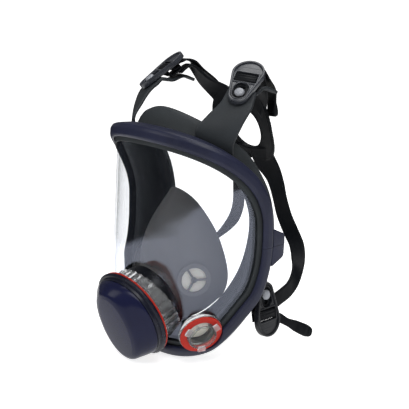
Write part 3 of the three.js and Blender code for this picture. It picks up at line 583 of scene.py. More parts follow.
centre_axis = unit(joints["exhalation_valve_lift"]["axis"])
GASKET_MIDDLE = 0.8
port = Place(middle_of("centre_gasket") - GASKET_MIDDLE * centre_axis, centre_axis, (1, 0, 0))
cheek_axis = -unit(joints["port_valve_left_lift"]["axis"])
PORT_GASKET_MIDDLE = 3.75
cheek_point = middle_of("filter_gasket_left") - PORT_GASKET_MIDDLE * cheek_axis


def cheek_port(side):
    return Place(mirrored(cheek_point, side), mirrored(cheek_axis, side), (0, 0, 1))


class Corner:
    """A strap corner: the stud's place, the buckle's facing direction and its long direction."""

    def __init__(self, level, long):
        swivel = joints[f"{level}_left_buckle_swivel"]
        self.stud = np.array(swivel["pos_m"]) / MM
        self.facing = unit(swivel["axis"])
        self.long = np.asarray(long, float)

    def by_stud(self, along, height):
        return self.stud + along * self.long + height * self.facing

    def flat(self, along, height, sideways=0.0):
        """A point in the left buckle's own plane."""
        return self.place(1).at(np.array([[sideways, height, along]]))[0]

    def place(self, side):
        facing, long = mirrored(self.facing, side), mirrored(self.long, side)
        long = unit(long - facing * (long @ facing))
        return Place(mirrored(self.stud, side), facing, np.cross(facing, long))


UPPER = Corner("upper", (-0.275, 0.741, 0.614))
LOWER = Corner("lower", (0.14, 0, -0.99))
CORNERS = {"upper": UPPER, "lower": LOWER}
WORLD = Place((0, 0, 0), (0, 1, 0), (1, 0, 0))


# Lens surface and its edge.
def section_at(z):
    """Half width, depth and squareness of the lens plan at a height, smooth between the sections."""
    heights, values = LENS_SECTIONS[:, 0], LENS_SECTIONS[:, 1:]
    z = np.clip(z, heights[0], heights[-1])
    last = len(heights) - 1
    right = np.clip(np.searchsorted(heights, z, side="right"), 1, last)
    left = right - 1
    before, after = np.where(left > 0, left - 1, right), np.where(right < last, right + 1, left)
    half = (heights[right] - heights[left]) / 2
    a = half / (heights[left] - heights[before])
    b = half / (heights[after] - heights[right])
    p = (z - heights[left]) / (2 * half)
    weights = (-a * p**3 + 2 * a * p**2 - a * p, (1 + a) * p**3 - (1.5 + 2 * a) * p**2 + (a - 0.5) * p + 1,
               -(1 + b) * p**3 + (1.5 + b) * p**2 + 0.5 * p, b * p**3 - b * p**2)
    return sum(w[..., None] * values[i] for w, i in zip(weights, (before, left, right, after)))


def lens_point(angle, z):
    """The outer surface of the lens at an angle round the plan (0 ahead) and a height."""
    angle, z = np.broadcast_arrays(np.asarray(angle, float), np.asarray(z, float))
    half_width, depth, squareness = np.moveaxis(section_at(z), -1, 0)
    p = np.stack([half_width * power(np.sin(angle), 2 / squareness),
                  LENS_BACK_Y - depth * power(np.cos(angle), 2 / squareness), z], -1)
    for side in SIDES.values():
        facet = mirrored(cheek_axis, side)
        over = p @ facet - cheek_axis @ cheek_point
        p = p - facet * ((over + np.hypot(over, CREASE)) / 2)[..., None]
    return p


def lens_normal(angle, z):
    around = lens_point(angle + 0.01, z) - lens_point(angle - 0.01, z)
    up = lens_point(angle, z + 0.5) - lens_point(angle, z - 0.5)
    return unit(np.cross(around, up))


def edge_at(turns):
    """Angle and height of the lens edge, from the middle of the brow round the wearer's left."""
    theta = turns * TURN
    upper = np.cos(theta) >= 0
    exponent = 2 / np.where(upper, BROW_SQUARENESS, CHIN_SQUARENESS)
    reach = np.where(upper, LENS_TOP_Z, -LENS_CHIN_Z)
    return SIDE_ANGLE * power(np.sin(theta), exponent), reach * power(np.cos(theta), exponent)


class Edge:
    """Frames at turns round the lens edge: outwards across it (b) and forwards through it (n)."""

    def __init__(self, turns):
        angle, z = edge_at(turns)
        self.point = lens_point(angle, z)
        self.normal = lens_normal(angle, z)
        along = unit(lens_point(*edge_at(turns + 0.004)) - lens_point(*edge_at(turns - 0.004)))
        self.outwards = unit(np.cross(self.normal, along))

    def at(self, b, n):
        return self.point + self.outwards * b + self.normal * n


loop_turns = np.arange(STATIONS) / STATIONS
edge = Edge(loop_turns)


def round_edge(section):
    """A section of (b, n) corners swept all the way round the lens edge."""
    return swept(np.stack([edge.at(b, n) for b, n in section], 1), True)


def port_rooms():
    """Room round both filter ports: for a flange in front of the lens, then for its neck behind it."""
    return [hoop(0, radius + GAP, low, high, cheek_port(side)) for side in SIDES.values()
            for radius, low, high in ((PORT_FLANGE_R, -0.2, 14), (PORT_NECK_R, -12, 1))]


def collar_room():
    return hoop(0, COLLAR_R[1] + GAP, -60, 20, port, 144)


def add_lens():
    inset, centre_z = 1.5, -12
    shares = 1 - np.linspace(0, 1, 48)[:, None] ** 1.15
    angle, z = edge_at(loop_turns)
    angles, heights = shares * angle, centre_z + shares * (z - centre_z)
    outer = lens_point(angles, heights)
    normals = lens_normal(angles, heights)
    outer[0], normals[0] = edge.at(-inset, 0), edge.normal
    lens = raw("lens_shell", [sheet_between(outer, outer - LENS_THICKNESS * normals)], 60)
    carve(lens, [collar_room(), *port_rooms()[1::2]], 50)
    place_piece(lens, LENS_CLEAR, ["lens"])


# Frame halves, lugs, screws and nuts.
def lug(outline, side):
    half = LUG.thickness / 2
    return plate([rounded(outline, 3, 8)], -half, half, 0.5, Place((side * LUG.x, 0, 0), (-1, 0, 0), (0, 1, 0)))


def lug_bore(side):
    return Place((side * LUG.x, LUG.y, 0), (0, 0, 1), (1, 0, 0))


def lug_rods(radius, low, high):
    return [hoop(0, radius + GAP, low, high, lug_bore(side), 64) for side in SIDES.values()]


def add_frame():
    top, bottom = FRAME_SPLIT_Z + GAP / 2, FRAME_SPLIT_Z - GAP / 2
    room = 400
    below, above = (block((room, room, room), (0, 0, z), WORLD, bevel=0) for z in (top - room / 2, bottom + room / 2))
    section = rounded(FRAME_SECTION, 1.2, 4)
    upper_lug = [(-3.6, top - 4), (10.5, top - 4), (10.5, top + 9), (-3.6, top + 16)]
    lower_lug = [(-6.5, bottom - 18), (9.5, bottom - 11), (10.5, bottom + 4), (-3.6, bottom + 4)]
    nut_rooms, head_rooms = lug_rods(LUG.nut, top + 3, 20), lug_rods(LUG.head, -60, bottom - 6)
    bores = lug_rods(LUG.screw, -60, 20)
    for name, half, outline, rooms, cheeks in (
            ("upper", below, upper_lug, nut_rooms, []), ("lower", above, lower_lug, head_rooms, port_rooms())):
        rail = carve(raw("rail", [round_edge(section)]), [half, *cheeks])
        lugs = carve(raw("lugs", [lug(outline, side) for side in SIDES.values()]), [half, *bores, *rooms])
        place_piece(gathered(f"{name}_frame_moulding", [rail, lugs]), NAVY, [f"{name}_frame"])
    for name, side in SIDES.items():
        stand = lug_bore(side)
        head, r = bottom - 6 - GAP, LUG.screw
        screw = [(0, head - 1.2), (1.1, head - 1.2), (1.3, head - 2.4), (2.4, head - 2.4), (LUG.head, head - 1.8),
                 (LUG.head, head), (r, head), (r, top + 6.5), (0, top + 6.5)]
        make(f"screw_{name}", [turned(screw, stand, 48, 0.2)], STEEL, [f"frame_screw_{name}"])
        low = top + 3 + GAP
        nut = hoop(r + GAP, LUG.nut, low, low + 2.4, stand, 6, 0.25)
        make(f"nut_{name}", [nut], STEEL, [f"frame_nut_{name}"], angle=25)


# Face seal and its strap tabs.
SEAL_CHANNEL = [(-1.2, GAP), (-13, GAP), (-12.6, 1.8), (1.2, 1.8), (1.2, -4.8)]
SEAL_FOLD = [(-6, -3.7), (-9.2, -6.6), (-8.6, -11.8)]
SEAL_BULGE = half_loop([
    (0, -48, 96), (40, -36, 84), (62, -14, 62), (69, 3, 36), (72, 12, 10),
    (72, 14, -22), (67, 3, -58), (53, -16, -92), (30, -33, -116), (0, -41, -125)])
SEAL_LIP = half_loop([
    (0, -36, 73), (29, -28, 66), (44, -11, 50), (50, 2, 30), (51.5, 8, 8),
    (51, 9, -20), (47, 1, -52), (36, -13, -80), (19, -25, -98), (0, -29, -103)])
UPPER_ACROSS = (0.894, 0.423, -0.11)
UPPER_TAB = [
    ((52, -38, 65), (0.73, 0.59, -0.32), 34), ((53, -39, 76), (0.73, 0.59, -0.32), 35),
    ((56, -30, 90), (0.85, 0.5, -0.2), 32), (UPPER.by_stud(-10, 0), UPPER_ACROSS, 29),
    (UPPER.by_stud(0, 0), UPPER_ACROSS, 27), (UPPER.by_stud(6.5, -0.3), UPPER_ACROSS, 26),
    (UPPER.by_stud(13.5, -7.6), UPPER_ACROSS, 23), ((51, 18, 112), (0.98, 0.2, 0), 13),
    ((53, 37, 106), (1, 0.1, 0), 3),
]
LOWER_TAB = [
    ((69, -3, -40), (0.1, 1, 0), 18), (LOWER.by_stud(-18, -1), (0, 1, 0), 18),
    (LOWER.by_stud(-9, 0), (0, 1, 0), 18), (LOWER.stud, (0, 1, 0), 18),
    (LOWER.by_stud(9, 0), (0, 1, 0), 12),
]


def seal_section():
    """The seal's outline at every station: the channel round the lens edge, then the sheet to the lip."""
    samples = np.linspace(0, 1, 30)
    bulge, lip = loop_curve(SEAL_BULGE, loop_turns), loop_curve(SEAL_LIP, loop_turns)
    fold = [edge.at(b, n) for b, n in SEAL_FOLD]
    route = np.stack([*fold, bulge, lip], 1)
    lines = np.stack([open_curve(points, samples) for points in route], 1)
    normals = -grid_normals(lines)
    half = SEAL_SHEET / 2
    front, rear = lines + half * normals, lines - half * normals
    ahead = unit(lines[-1] - lines[-2])
    bead = [lines[-1] + 1.5 * half * (math.cos(a) * -normals[-1] + (0.6 + math.sin(a)) * ahead)
            for a in np.linspace(-0.9, math.pi + 0.9, 13)]
    channel = rounded([(b, n) for b, n in SEAL_CHANNEL], 0.5, 3, closed=False)
    return [*(edge.at(b, n) for b, n in channel), *rear[:-1], *bead, *front[:-1][::-1], edge.at(-1.2, -2.4)]


def add_seal():
    seal = raw("face_seal_moulding", [swept(np.stack(seal_section(), 1), True)], 50)
    carve(seal, [collar_room(), *port_rooms()], 50)
    place_piece(seal, SEAL, ["face_seal"])
    for name, side in SIDES.items():
        for level, route, steps in (("upper", UPPER_TAB, 90), ("lower", LOWER_TAB, 40)):
            tab = raw(f"{level}_tab_{name}", [ribbon(route, steps, side, TAB_THICKNESS)], 60)
            hole = hoop(0, 3.3, -6, 6, CORNERS[level].place(side), 48)
            place_piece(carve(tab, [hole], 60), TAB)


# Centre port.
def add_collar():
    inner, outer = COLLAR_R
    ribs = [(outer - (0.5 if k % 2 else 0), -2.6 - k * 1.1) for k in range(6)]
    profile = [(inner, -GAP), (inner, -16), (outer, -16), *ribs[::-1], (outer, -GAP)]
    points, faces = turned(profile, port, 160, 0.25)
    local = port.inside(points)
    radius = np.hypot(local[:, 0], local[:, 2])
    turn = np.arctan2(local[:, 0], local[:, 2])
    flute = 1 - 1.1 * (radius > outer - 1.5) * (local[:, 1] < -1) * (np.sin(turn * BARREL_FLUTES) > 0) / outer
    local[:, [0, 2]] *= flute[:, None]
    rear = local[:, 1] < -10
    local[rear, 1] = -19 - local[rear, 2] * 0.17 + (local[rear, 1] + 16)
    make("centre_port_barrel", [(port.at(local), faces)], BARREL_CLEAR, ["centre_port_collar"],
         angle=12)
    gasket = hoop(inner, FLANGE_R - 0.3, 0, 1.6, port, 160, 0.5)
    make("centre_gasket_ring", [gasket], RED, ["centre_gasket"])


def add_port_body():
    inner, rear = COLLAR_R[0] - GAP, NECK_R - 2.2
    body = [(29.4, 1.9), (FLANGE_R, 1.9), (FLANGE_R, 4.6), (40.4, 5.4), (38.9, 5.4), (38.9, 8.4), (29.4, 8.4)]
    tube = [(30.2, 3), (inner, 3), (inner, -25), (NECK_R, -27), (NECK_R, -37), (rear, -37), (rear, -25), (30.2, -23)]
    grips = [block((5, 1.6, 0.8), (0, 3.4, FLANGE_R - 0.1), port, k * math.pi / 18, 0.25)
             for k in range(36) if k % 9 not in (0, 1, 8)]
    # The housing is in the darkened navy: painted shade.
    make("port_housing", [turned(body, port, 192, 0.6), *grips], FLANGE_NAVY_PAINTED_SHADE, ["port_body"])
    # The inner tube is near black, darker than the housing it belongs to: painted shade inside the barrel.
    make("port_tube", [turned(tube, port, 128, 0.8)], TUBE_PAINTED_SHADE)


def add_exhalation_valve():
    flap = hoop(2.2, 25, 1.2, 2.2, port, 96, 0.4)
    make("exhalation_flap", [flap], CUP, ["exhalation_valve_disc"], "exhalation_valve")
    rim = hoop(22.5, 29.1, -2, 0.9, port, 128, 0.4)
    spokes = thirds((3, 2, 23), (0, -0.9, 11.4), port, 0.4)
    pin = [(0, -2), (4, -2), (4, 0.5), (1.8, 0.5), (1.8, 4.2), (3, 4.2), (3, 5.2), (0, 5.6)]
    make("exhalation_seat", [rim, *spokes, turned(pin, port, 48, 0.3)], CUP,
         ["exhalation_valve_seat"])


# Cover rings from its base to the edge of its face: height, half width, half height, shift downwards.
COVER_RINGS = [
    (8.8, 36.8, 38, 0.2), (9.8, 36.4, 38, 0.2), (13, 33.2, 38, 0.3), (17.6, 27.8, 37, 1), (20.9, 24.2, 35.8, 1.7),
    (22.8, 21.4, 34.1, 1.9), (23.9, 17.8, 31.2, 2),
]
COVER_TOP, COVER_WALL = 24.5, 2


def cover_rows(inset, drop):
    """Rings of points over the cover: its flank, then its gently crowned face."""
    sizes = open_curve(COVER_RINGS, np.linspace(0, 1, 56))
    shares = np.linspace(1, 0, 26)[1:]
    last = sizes[-1]
    crown = [(last[0] + (COVER_TOP - last[0]) * (1 - s * s), last[1] * s, last[2] * s, last[3]) for s in shares]
    sizes = np.vstack([sizes, crown])
    turns = np.arange(192) / 192 * TURN
    rows = []
    for height, half_width, half_tall, low in sizes:
        share = max(0, 1 - inset / max(half_width, inset, 0.1))
        rows.append(np.stack([half_width * share * power(np.cos(turns), 0.96), 0 * turns + height - drop,
                              half_tall * share * power(np.sin(turns), 0.92) + low], -1))
    return np.array(rows)


def add_cover():
    outer, inner = cover_rows(0, 0), cover_rows(COVER_WALL, COVER_WALL * 0.8)
    inner[0, :, 1] = outer[0, :, 1]
    shell = raw("exhalation_cover_shell", [sheet_between(port.at(outer), port.at(inner))])
    outlet = block((26, 5, 20), (0, 12.2, 40), port, bevel=1.2)
    carve(shell, [outlet], 35)
    place_piece(shell, COVER_LOOK, ["exhalation_cover"])


# Filter ports.
def add_filter_port(name, side):
    place = cheek_port(side)
    bore, neck, flange, (inner, outer) = PORT_BORE_R, PORT_NECK_R, PORT_FLANGE_R, PORT_GASKET_R
    lip = inner - GAP
    ring = [(bore, -6.5), (neck, -6.5), (neck, GAP), (flange, GAP), (flange, 2.6), (lip, 2.6), (lip, 8.4),
            (bore, 8.4)]
    make(f"bayonet_lugs_{name}", thirds((7, 2, 4.8), (0, 7.2, 14.6), place, 0.5, 0.6), PORT_FROST)
    spokes = thirds((1.6, 1.6, 13), (0, -4.2, 6.4), place, 0.3)
    pin = [(0, -9.2), (2.6, -9.2), (2.6, -8.5), (1.2, -8.5), (1.2, -5), (2.4, -5), (2.4, -3.4), (0, -3.4)]
    make(f"bayonet_{name}", [turned(ring, place, 128, 0.4), *spokes, turned(pin, place, 40, 0.2)],
         PORT_CLEAR, [f"filter_port_{name}"])
    gasket = hoop(inner, outer, 2.9, 4.6, place, 128, 0.6)
    make(f"bayonet_gasket_{name}", [gasket], RED, [f"filter_gasket_{name}"])
    flap = hoop(1.5, 11.2, -6.1, -5.3, place, 96, 0.3)
    make(f"port_flap_{name}", [flap], IVORY, [f"port_valve_disc_{name}"], f"port_valve_{name}")


# Nose cup and its valves.
CUP_LIP = half_loop([
    (0, -35, 22), (17, -28, 12), (34, -21, -12), (42, -16, -38),
    (43, -14, -58), (37, -16, -74), (22, -20, -85), (0, -23, -89)])
CUP_MIDDLE = half_loop([
    (0, -64, -10), (22, -58, -12), (38, -50, -28), (43, -42, -52),
    (41, -36, -72), (31, -34, -90), (17, -35, -100), (0, -36, -103)])
CUP_SHEET = 2
CUP_VALVE = SimpleNamespace(turn=0.2, along=0.43, ring=15.5, hole=13.6, disc=12, bore=11.2)
CUP_NECK_SHARE = 0.14


def cup_point(turn, along):
    """The cup's surface, from its neck on the port tube (along 0) to its lip on the face (along 1)."""
    turn, along = np.broadcast_arrays(np.asarray(turn, float), np.asarray(along, float))
    shape = turn.shape
    turn, along = turn.ravel(), along.ravel()
    angle = turn * TURN
    radius = NECK_R + GAP + CUP_SHEET / 2

    def neck(height):
        return port.at(np.stack([radius * np.sin(angle), height + 0 * angle, -radius * np.cos(angle)], -1))

    start, front = neck(-33.5), neck(-29)
    t = np.clip((along - CUP_NECK_SHARE) / (1 - CUP_NECK_SHARE), 0, 1)[:, None]
    wall = start * (1 - t) ** 2 + loop_curve(CUP_MIDDLE, turn) * 2 * t * (1 - t) + loop_curve(CUP_LIP, turn) * t**2
    share = np.clip(along / CUP_NECK_SHARE, 0, 1)[:, None]
    made = np.where(along[:, None] < CUP_NECK_SHARE, front + (start - front) * share, wall)
    return made.reshape(*shape, 3)


def cup_valve_place(side):
    turn, along = CUP_VALVE.turn, CUP_VALVE.along
    around = cup_point(turn + 0.02, along) - cup_point(turn - 0.02, along)
    down = cup_point(turn, along + 0.03) - cup_point(turn, along - 0.03)
    out = unit(np.cross(around, down))
    out = out if out[0] > 0 else -out
    return Place(mirrored(cup_point(turn, along), side), mirrored(out, side), (0, 0, 1))


def add_nose_cup():
    rows = np.linspace(0, 1, 56)[:, None]
    grid = cup_point(np.arange(168)[None, :] / 168, rows)
    normals = grid_normals(grid)
    thick = CUP_SHEET / 2 + 0.5 * np.exp(-((rows - 1) / 0.02) ** 2) + 0.35 * np.exp(-((rows - 0.9) / 0.008) ** 2)
    thick = np.broadcast_to(thick, grid.shape[:2])[..., None]
    cup = raw("nose_cup_moulding", [sheet_between(grid + normals * thick, grid - normals * thick)], 50)
    hole = CUP_VALVE.hole + GAP
    carve(cup, [hoop(0, hole, -12, 12, cup_valve_place(side)) for side in SIDES.values()], 50)
    place_piece(cup, CUP, ["nose_cup"])


def add_cup_valve(name, side):
    place = cup_valve_place(side)
    ring, hole, bore, radius = CUP_VALVE.ring, CUP_VALVE.hole, CUP_VALVE.bore, CUP_VALVE.disc
    pocket = radius + GAP
    rim = [(bore, 1.6), (pocket, 1.6), (pocket, -3.4), (hole, -3.4), (hole, 2.6), (ring, 2.6), (ring, 3.6),
           (bore, 3.6)]
    spokes = thirds((1.9, 1.5, 12), (0, 3.05, 5.9), place, 0.4)
    pin = [(0, -2.2), (2.2, -2.2), (2.2, -1.4), (1.1, -1.4), (1.1, 2.4), (2.6, 2.4), (2.6, 3.8), (0, 3.8)]
    make(f"cup_valve_ring_{name}", [turned(rim, place, 112, 0.3), *spokes, turned(pin, place, 40, 0.25)],
         CUP, [f"cup_valve_seat_{name}"])
    flap = hoop(1.4, radius, 0.5, 1.3, place, 96, 0.3)
    make(f"cup_flap_{name}", [flap], IVORY, [f"cup_valve_disc_{name}"], f"cup_valve_{name}")


# Buckles, studs and the straps in them.
BUCKLE = SimpleNamespace(
    narrow=9, narrow_at=-2.5, wide=14.5, wide_at=23.5, slot_from=12.5, slot_to=23.5, slot_width=20,
    bar_from=16, bar_to=20, bar_depth=2, bar_rise=1.2, hole=3.6, entry=3.4, entry_at=6)
RECESS_R = 6.4
LOOP_END = {"upper": 28, "lower": 24}


def teardrop(margin=0.0):
    """The buckle's outline, anticlockwise, smaller by a margin."""
    b = BUCKLE
    lean = math.asin((b.wide - b.narrow) / (b.wide_at - b.narrow_at))
    return np.vstack([arc((0, b.wide_at), b.wide - margin, -lean, math.pi + lean, 44),
                      arc((0, b.narrow_at), b.narrow - margin, math.pi + lean, TURN - lean, 28)])


def rectangle(half, z_from, z_to, radius):
    return rounded([(-half, z_from), (half, z_from), (half, z_to), (-half, z_to)], radius, 6)


def keyhole():
    b = BUCKLE
    return np.vstack([arc((0, b.entry_at), b.entry, 0.4, math.pi - 0.4, 16),
                      arc((0, 0), b.hole, math.pi - 0.8, TURN + 0.8, 26)])


def add_buckle(level, name, side):
    place = CORNERS[level].place(side)
    b = BUCKLE
    half = b.slot_width / 2
    slot = rectangle(half, b.slot_from, b.slot_to, 1.2)
    low, high = PLATE_FROM, PLATE_TO
    rim = plate([teardrop(), teardrop(2.1)], low + 0.2, high + 0.7, 0.55, place)
    web = plate([teardrop(0.9), slot, keyhole()], low, high - 2.2, 0.35, place)
    recess = np.vstack([arc((0, b.entry_at - 1), RECESS_R, 0, math.pi, 24),
                        arc((0, -0.6), RECESS_R, math.pi, TURN, 24)])
    deck = plate([teardrop(0.9), rectangle(half + 0.4, b.slot_from - 0.4, b.slot_to + 0.4, 1.4), recess],
                 high - 2.4, high - 0.6, 0.4, place)
    window = plate([rectangle(half + 1.5, b.slot_from - 1.6, b.slot_to + 1.5, 2), slot], high - 1.6, high, 0.4, place)
    pad = plate([arc((0, b.wide_at + 2.3), 10.4, 0.35, math.pi - 0.35, 24)], high - 1.4, high - 0.45, 0.35, place)
    collar = plate([offset_loop(recess, 1.1), recess], high - 1.4, high - 0.1, 0.4, place)
    middle = (b.bar_from + b.bar_to) / 2
    bar = block((b.slot_width + 2, b.bar_depth, b.bar_to - b.bar_from),
                (0, low + b.bar_rise, middle), place, bevel=0.6)
    # The lower buckles take the darker copy of the same plastic: painted shade.
    look = BUCKLE_PLASTIC if level == "upper" else BUCKLE_PAINTED_SHADE
    body = f"{level}_{name}_buckle"
    make(f"{level}_{name}_buckle_plate", [rim, web, deck, window, pad, collar, bar], look,
         [f"buckle_{level}_{name}"], body)
    # A black film on the floor of the recess round the keyhole: painted shade in the recess.
    floor = plate([offset_loop(recess, -0.3), keyhole()], high - 2.3, high - 1.95, 0.1, place)
    make(f"{level}_{name}_keyhole_painted_shade", [floor], HARNESS, (), body)
    under = -TAB_THICKNESS / 2 - GAP
    top = high + GAP
    stud = [(0, under - 1.6), (5, under - 1.6), (5, under), (3, under), (3, top - 1.6), (4.5, top - 1.6),
            (4.5, top - 0.4), (3.6, top + 0.9), (2, top + 1.3), (0, top + 1.4)]
    make(f"{level}_{name}_stud", [turned(stud, place, 64, 0.7)], STUD_PLASTIC,
         [f"strap_stud_{level}_{name}"])


def add_strap_in_buckle(level, name, side):
    """The ribbed strap: in under the bar, up in front of it, over it, down behind it and out backwards."""
    thickness, rib, pitch = 1.7, 0.45, 2.9
    b, end = BUCKLE, LOOP_END[level]
    front, rear = b.bar_from - GAP - thickness / 2, b.bar_to + GAP + thickness / 2
    top = PLATE_FROM + b.bar_rise + b.bar_depth / 2 + GAP + thickness / 2
    bends = [(end, STRAP_IN), (front + 2, STRAP_IN), (front, STRAP_IN + 2), (front, top), (rear, top),
             (rear, STRAP_OUT + 1), (rear + 1, STRAP_OUT), (end, STRAP_OUT)]
    corners = rounded(bends, 1.2, 8, closed=False)
    length = np.concatenate([[0], np.cumsum(np.linalg.norm(np.diff(corners, axis=0), axis=1))])
    at = np.linspace(0, length[-1], 220)
    line = np.stack([np.interp(at, length, corners[:, k]) for k in (0, 1)], -1)
    along = unit(np.gradient(line, axis=0))
    across = np.stack([-along[:, 1], along[:, 0]], -1)
    ribs = rib * np.clip(np.cos(at / pitch * TURN) * 2.2, 0, 1)[:, None]
    outer, inner = line + across * (thickness / 2 + ribs), line - across * thickness / 2
    outline = np.vstack([outer, inner[::-1]])
    thin = thickness / 2 - 0.35
    core = np.vstack([line + across * (thin + ribs * 0.6), (line - across * thin)[::-1]])
    half, rounding = b.slot_width / 2 - 0.6, 0.45
    place = CORNERS[level].place(side)
    sections = [place.at(np.stack([x + 0 * loop[:, 0], loop[:, 1], loop[:, 0]], -1)) for x, loop in (
        (-half, core), (-half + rounding, outline), (half - rounding, outline), (half, core))]
    make(f"{level}_{name}_strap_loop", [swept(sections, False)], HARNESS,
         [f"strap_loop_{level}_{name}"], f"{level}_{name}_buckle", angle=50)


# Head harness and free strap ends.
HARNESS_HOLE = SimpleNamespace(z=64, y=57.5, radius=18)
HARNESS_LEAN, HARNESS_CURVE = -0.28, 170
UPPER_FLAT = UPPER.flat(0, 0) - UPPER.flat(0, 0, 1)
UPPER_STRAP = [
    ((16, 50, 88), (0.7, -0.1, -0.7), 27), ((26, 44, 97), (0.75, 0, -0.6), 24),
    ((35, 34, 107), (0.85, 0.2, -0.4), 20), (UPPER.by_stud(37.5, -10), UPPER_ACROSS, 18),
    (UPPER.flat(31.5, -7), UPPER_FLAT, 18), (UPPER.flat(25, -7.5), UPPER_FLAT, 17.5),
]
LEG = [
    ((12.5, 59, 47), (0.97, 0, 0.1), 29), ((17.5, 65, 30), (0.96, 0.1, 0.1), 28),
    ((23.5, 70, 15.5), (0.95, 0.1, 0.15), 20), ((27, 73, -1.6), (0.95, 0.1, 0.15), 17.5),
    ((30.5, 76, -18.7), (0.93, 0.15, 0.2), 18), ((37.5, 78, -33.7), (0.88, 0.25, 0.3), 17.5),
    ((46, 77, -45.3), (0.83, 0.35, 0.15), 17), ((54.3, 70, -56.7), (0.75, 0.4, -0.15), 16),
    ((62.1, 58, -68), (0.5, 0.1, -0.8), 15.5), ((68.4, 42, -75), (0.2, 0, -0.97), 15),
    ((69.4, 29, -79), (0.07, 0, -1), 15), (LOWER.flat(14.5, -7.6, 18.5), (0.14, 0, -0.99), 15),
    (LOWER.flat(16, -7.6, 6), (0.14, 0, -0.99), 15), (LOWER.flat(16.5, -7.6, -6), (0.14, 0, -0.99), 15),
]
UPPER_TAIL = [
    (UPPER.flat(26, 0.7), UPPER_FLAT, 16.5), (UPPER.flat(30, 0.6), UPPER_FLAT, 17),
    (UPPER.flat(33, -0.4), UPPER_FLAT, 17), (UPPER.by_stud(37, -3), UPPER_ACROSS, 17),
    (UPPER.by_stud(42, -9), UPPER_ACROSS, 17), ((41.5, 32, 118), (0.93, 0.1, -0.1), 17),
    ((37.5, 46, 105.5), (0.93, -0.1, 0), 17), ((33, 53.5, 92), (0.93, -0.3, 0.1), 15),
    ((33, 54.8, 82), (0.93, -0.3, 0.1), 15), ((33, 55, 79.5), (0.93, -0.3, 0.1), 11),
]
LOWER_TAIL = [
    (LOWER.flat(28.5, 0.8), (0, 0.1, 0.95), 8.5), (LOWER.flat(28.5, 0.8, 10), (0, 0.25, 0.95), 8.5),
    ((75.2, 20, -95.3), (0, 0.4, 0.9), 9), ((79, 28, -100.6), (0, 0.4, 0.9), 7.5),
    ((82.6, 36.5, -106), (0, 0.4, 0.9), 10.5), ((86.4, 44.5, -111), (0, 0.4, 0.9), 11.5),
    ((88.6, 49, -113.6), (0, 0.4, 0.9), 9), ((89, 50, -114.2), (0, 0.4, 0.9), 5),
]
TAIL_THICKNESS, GRIP_THICKNESS = 1.9, 6


def panel_point(x, z):
    y = HARNESS_HOLE.y + HARNESS_LEAN * (z - HARNESS_HOLE.z) - x * x / HARNESS_CURVE
    return np.stack([x, y, z], -1)


def harness_panel():
    turns = np.arange(160) / 160 * TURN
    s, c = np.sin(turns), np.cos(turns)
    shares = np.linspace(0, 1, 26)[:, None]
    hole = HARNESS_HOLE.radius
    x = hole * s + shares * (37 * power(s, 0.7) - hole * s)
    z = hole * c + shares * (np.where(c > 0, 39, 30) * power(c, 0.7) - hole * c)
    grid = panel_point(x, HARNESS_HOLE.z + z)
    normals = grid_normals(grid)
    rims = np.exp(-((shares - 0.06) / 0.05) ** 2) + 0.7 * np.exp(-((shares - 1) / 0.05) ** 2)
    thick = (STRAP_THICKNESS / 2 + 0.7 * rims)[..., None]
    return sheet_between(grid + normals * thick, grid - normals * thick)


def add_harness():
    solids = [harness_panel()]
    for side in SIDES.values():
        solids += [ribbon(UPPER_STRAP, 60, side, HARNESS_SHEET), ribbon(LEG, 150, side, HARNESS_SHEET)]
    harness = fused(raw("harness_moulding", solids), voxel=0.6, smoothing=4)
    place_piece(harness, HARNESS, ["head_harness"])


def tail_thickness(grip_from, ribs):
    """Thickness along a free end: thin strap, then a grip with finger ribs and a round tip."""
    def thicken(shares):
        rise = 1 / (1 + np.exp(-(shares - grip_from) / 0.012))
        wave = 0.35 * np.cos((shares - grip_from) / (1 - grip_from) * ribs * TURN)
        tip = np.sqrt(np.clip((1.001 - shares) / 0.03, 0.02, 1))
        return (TAIL_THICKNESS + (GRIP_THICKNESS - 0.6 - TAIL_THICKNESS + wave) * rise) * tip
    return thicken


def add_tails(name, side):
    for level, route, grip_from in (("upper", UPPER_TAIL, 0.8), ("lower", LOWER_TAIL, 0.6)):
        tail = ribbon(route, 150, side, tail_thickness(grip_from, 4))
        make(f"{level}_{name}_tail", [tail], HARNESS, [f"strap_tail_{level}_{name}"], angle=60)


# The whole mask.
add_lens()
add_frame()
add_seal()
add_collar()
add_port_body()
add_exhalation_valve()
add_cover()
add_nose_cup()
add_harness()
for side_name, side_sign in SIDES.items():
    add_filter_port(side_name, side_sign)
    add_cup_valve(side_name, side_sign)
    add_tails(side_name, side_sign)
    for level_name in CORNERS:
        add_buckle(level_name, side_name, side_sign)
        add_strap_in_buckle(level_name, side_name, side_sign)


# Floor, light and camera.
TABLE_MIDDLE, TABLE_R = (0.4, -0.05), 0.79


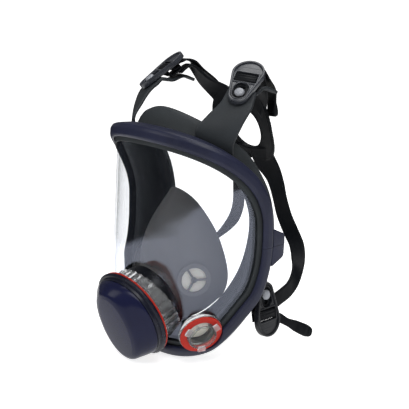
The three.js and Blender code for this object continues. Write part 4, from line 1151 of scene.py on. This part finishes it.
def add_floor():
    mesh = bpy.data.meshes.new("floor")
    reach, level = 6, cad_box[0].z - MM
    corners = [(x * reach, y * reach, level) for x, y in ((-1, -1), (1, -1), (1, 1), (-1, 1))]
    mesh.from_pydata(corners, [], [(0, 1, 2, 3)])
    floor = linked("floor", mesh)
    look = Look("pale_floor")
    tone = look.mixed(look.ranged(look.noise(120, 3), 0, 1), (0.93, 0.93, 0.93, 1), (0.95, 0.95, 0.95, 1))
    rays = look.node("ShaderNodeLightPath").outputs
    bright, plain = (look.shaded(tone, 0.9, Specular_IOR_Level=0.1, Emission_Color=(1, 1, 1, 1),
                                 Emission_Strength=glow) for glow in (0.8, 0.3))
    table = look.node("ShaderNodeEmission", Color=(1, 1, 1, 1)).outputs["Emission"]
    dark = look.node("ShaderNodeEmission", Color=(0.03, 0.03, 0.035, 1)).outputs["Emission"]
    away = look.fed("ShaderNodeVectorMath", look.place, (*TABLE_MIDDLE, level), operation="DISTANCE")
    on_table = look.ranged(away, 1, 0, TABLE_R - 0.02, TABLE_R + 0.02)
    seen_in_gloss = look.blend(on_table, dark, table)
    shader = look.blend(rays["Is Camera Ray"], plain, bright)
    shader = look.blend(rays["Is Transmission Ray"], shader, bright)
    mesh.materials.append(look.finished(look.blend(rays["Is Glossy Ray"], shader, seen_in_gloss)))


def aimed(name, data, azimuth, elevation, distance):
    """A light or camera so many degrees round and up, which looks at the middle of the mask."""
    a, e = math.radians(azimuth), math.radians(elevation)
    away = Vector((math.sin(a) * math.cos(e), -math.cos(a) * math.cos(e), math.sin(e)))
    made = linked(name, data)
    made.location = away * distance
    made.rotation_mode = "QUATERNION"
    made.rotation_quaternion = away.to_track_quat("Z", "Y")
    return made


def add_light(name, azimuth, elevation, distance, size, power_watts):
    """A soft box."""
    data = bpy.data.lights.new(name, "AREA")
    data.shape = "RECTANGLE"
    data.size, data.size_y = size
    data.energy = power_watts
    aimed(name, data, azimuth, elevation, distance)


def add_world():
    """A white room, which lights the mask softly and shows only faintly in its gloss."""
    world = bpy.data.worlds.new("studio")
    world.use_nodes = True
    nodes, links = world.node_tree.nodes, world.node_tree.links
    rays = nodes.new("ShaderNodeLightPath")
    for ray, strength in (("", 0.3), ("Is Glossy Ray", 0.12), ("Is Transmission Ray", 1), ("Is Camera Ray", 1)):
        sky = nodes.new("ShaderNodeBackground")
        sky.inputs["Color"].default_value = (1, 1, 1, 1)
        sky.inputs["Strength"].default_value = strength
        if ray:
            mix = nodes.new("ShaderNodeMixShader")
            for socket, source in zip(mix.inputs, (rays.outputs[ray], fill.outputs[0], sky.outputs[0])):
                links.new(source, socket)
            sky = mix
        fill = sky
    links.new(fill.outputs[0], nodes["World Output"].inputs["Surface"])
    bpy.context.scene.world = world


def add_camera():
    data = bpy.data.cameras.new("camera")
    data.lens, data.sensor_width = 95.7, 36
    bpy.context.scene.camera = aimed("camera", data, 46, 15, 1.0)


add_floor()
add_world()
add_light("key", 62, 60, 1.6, (0.9, 0.9), 11)
add_light("fill", -20, 35, 1.8, (1.0, 0.8), 6)
add_light("top", 200, 70, 1.6, (1.0, 1.0), 8)
add_camera()
bpy.context.scene.view_settings.view_transform = "Standard"
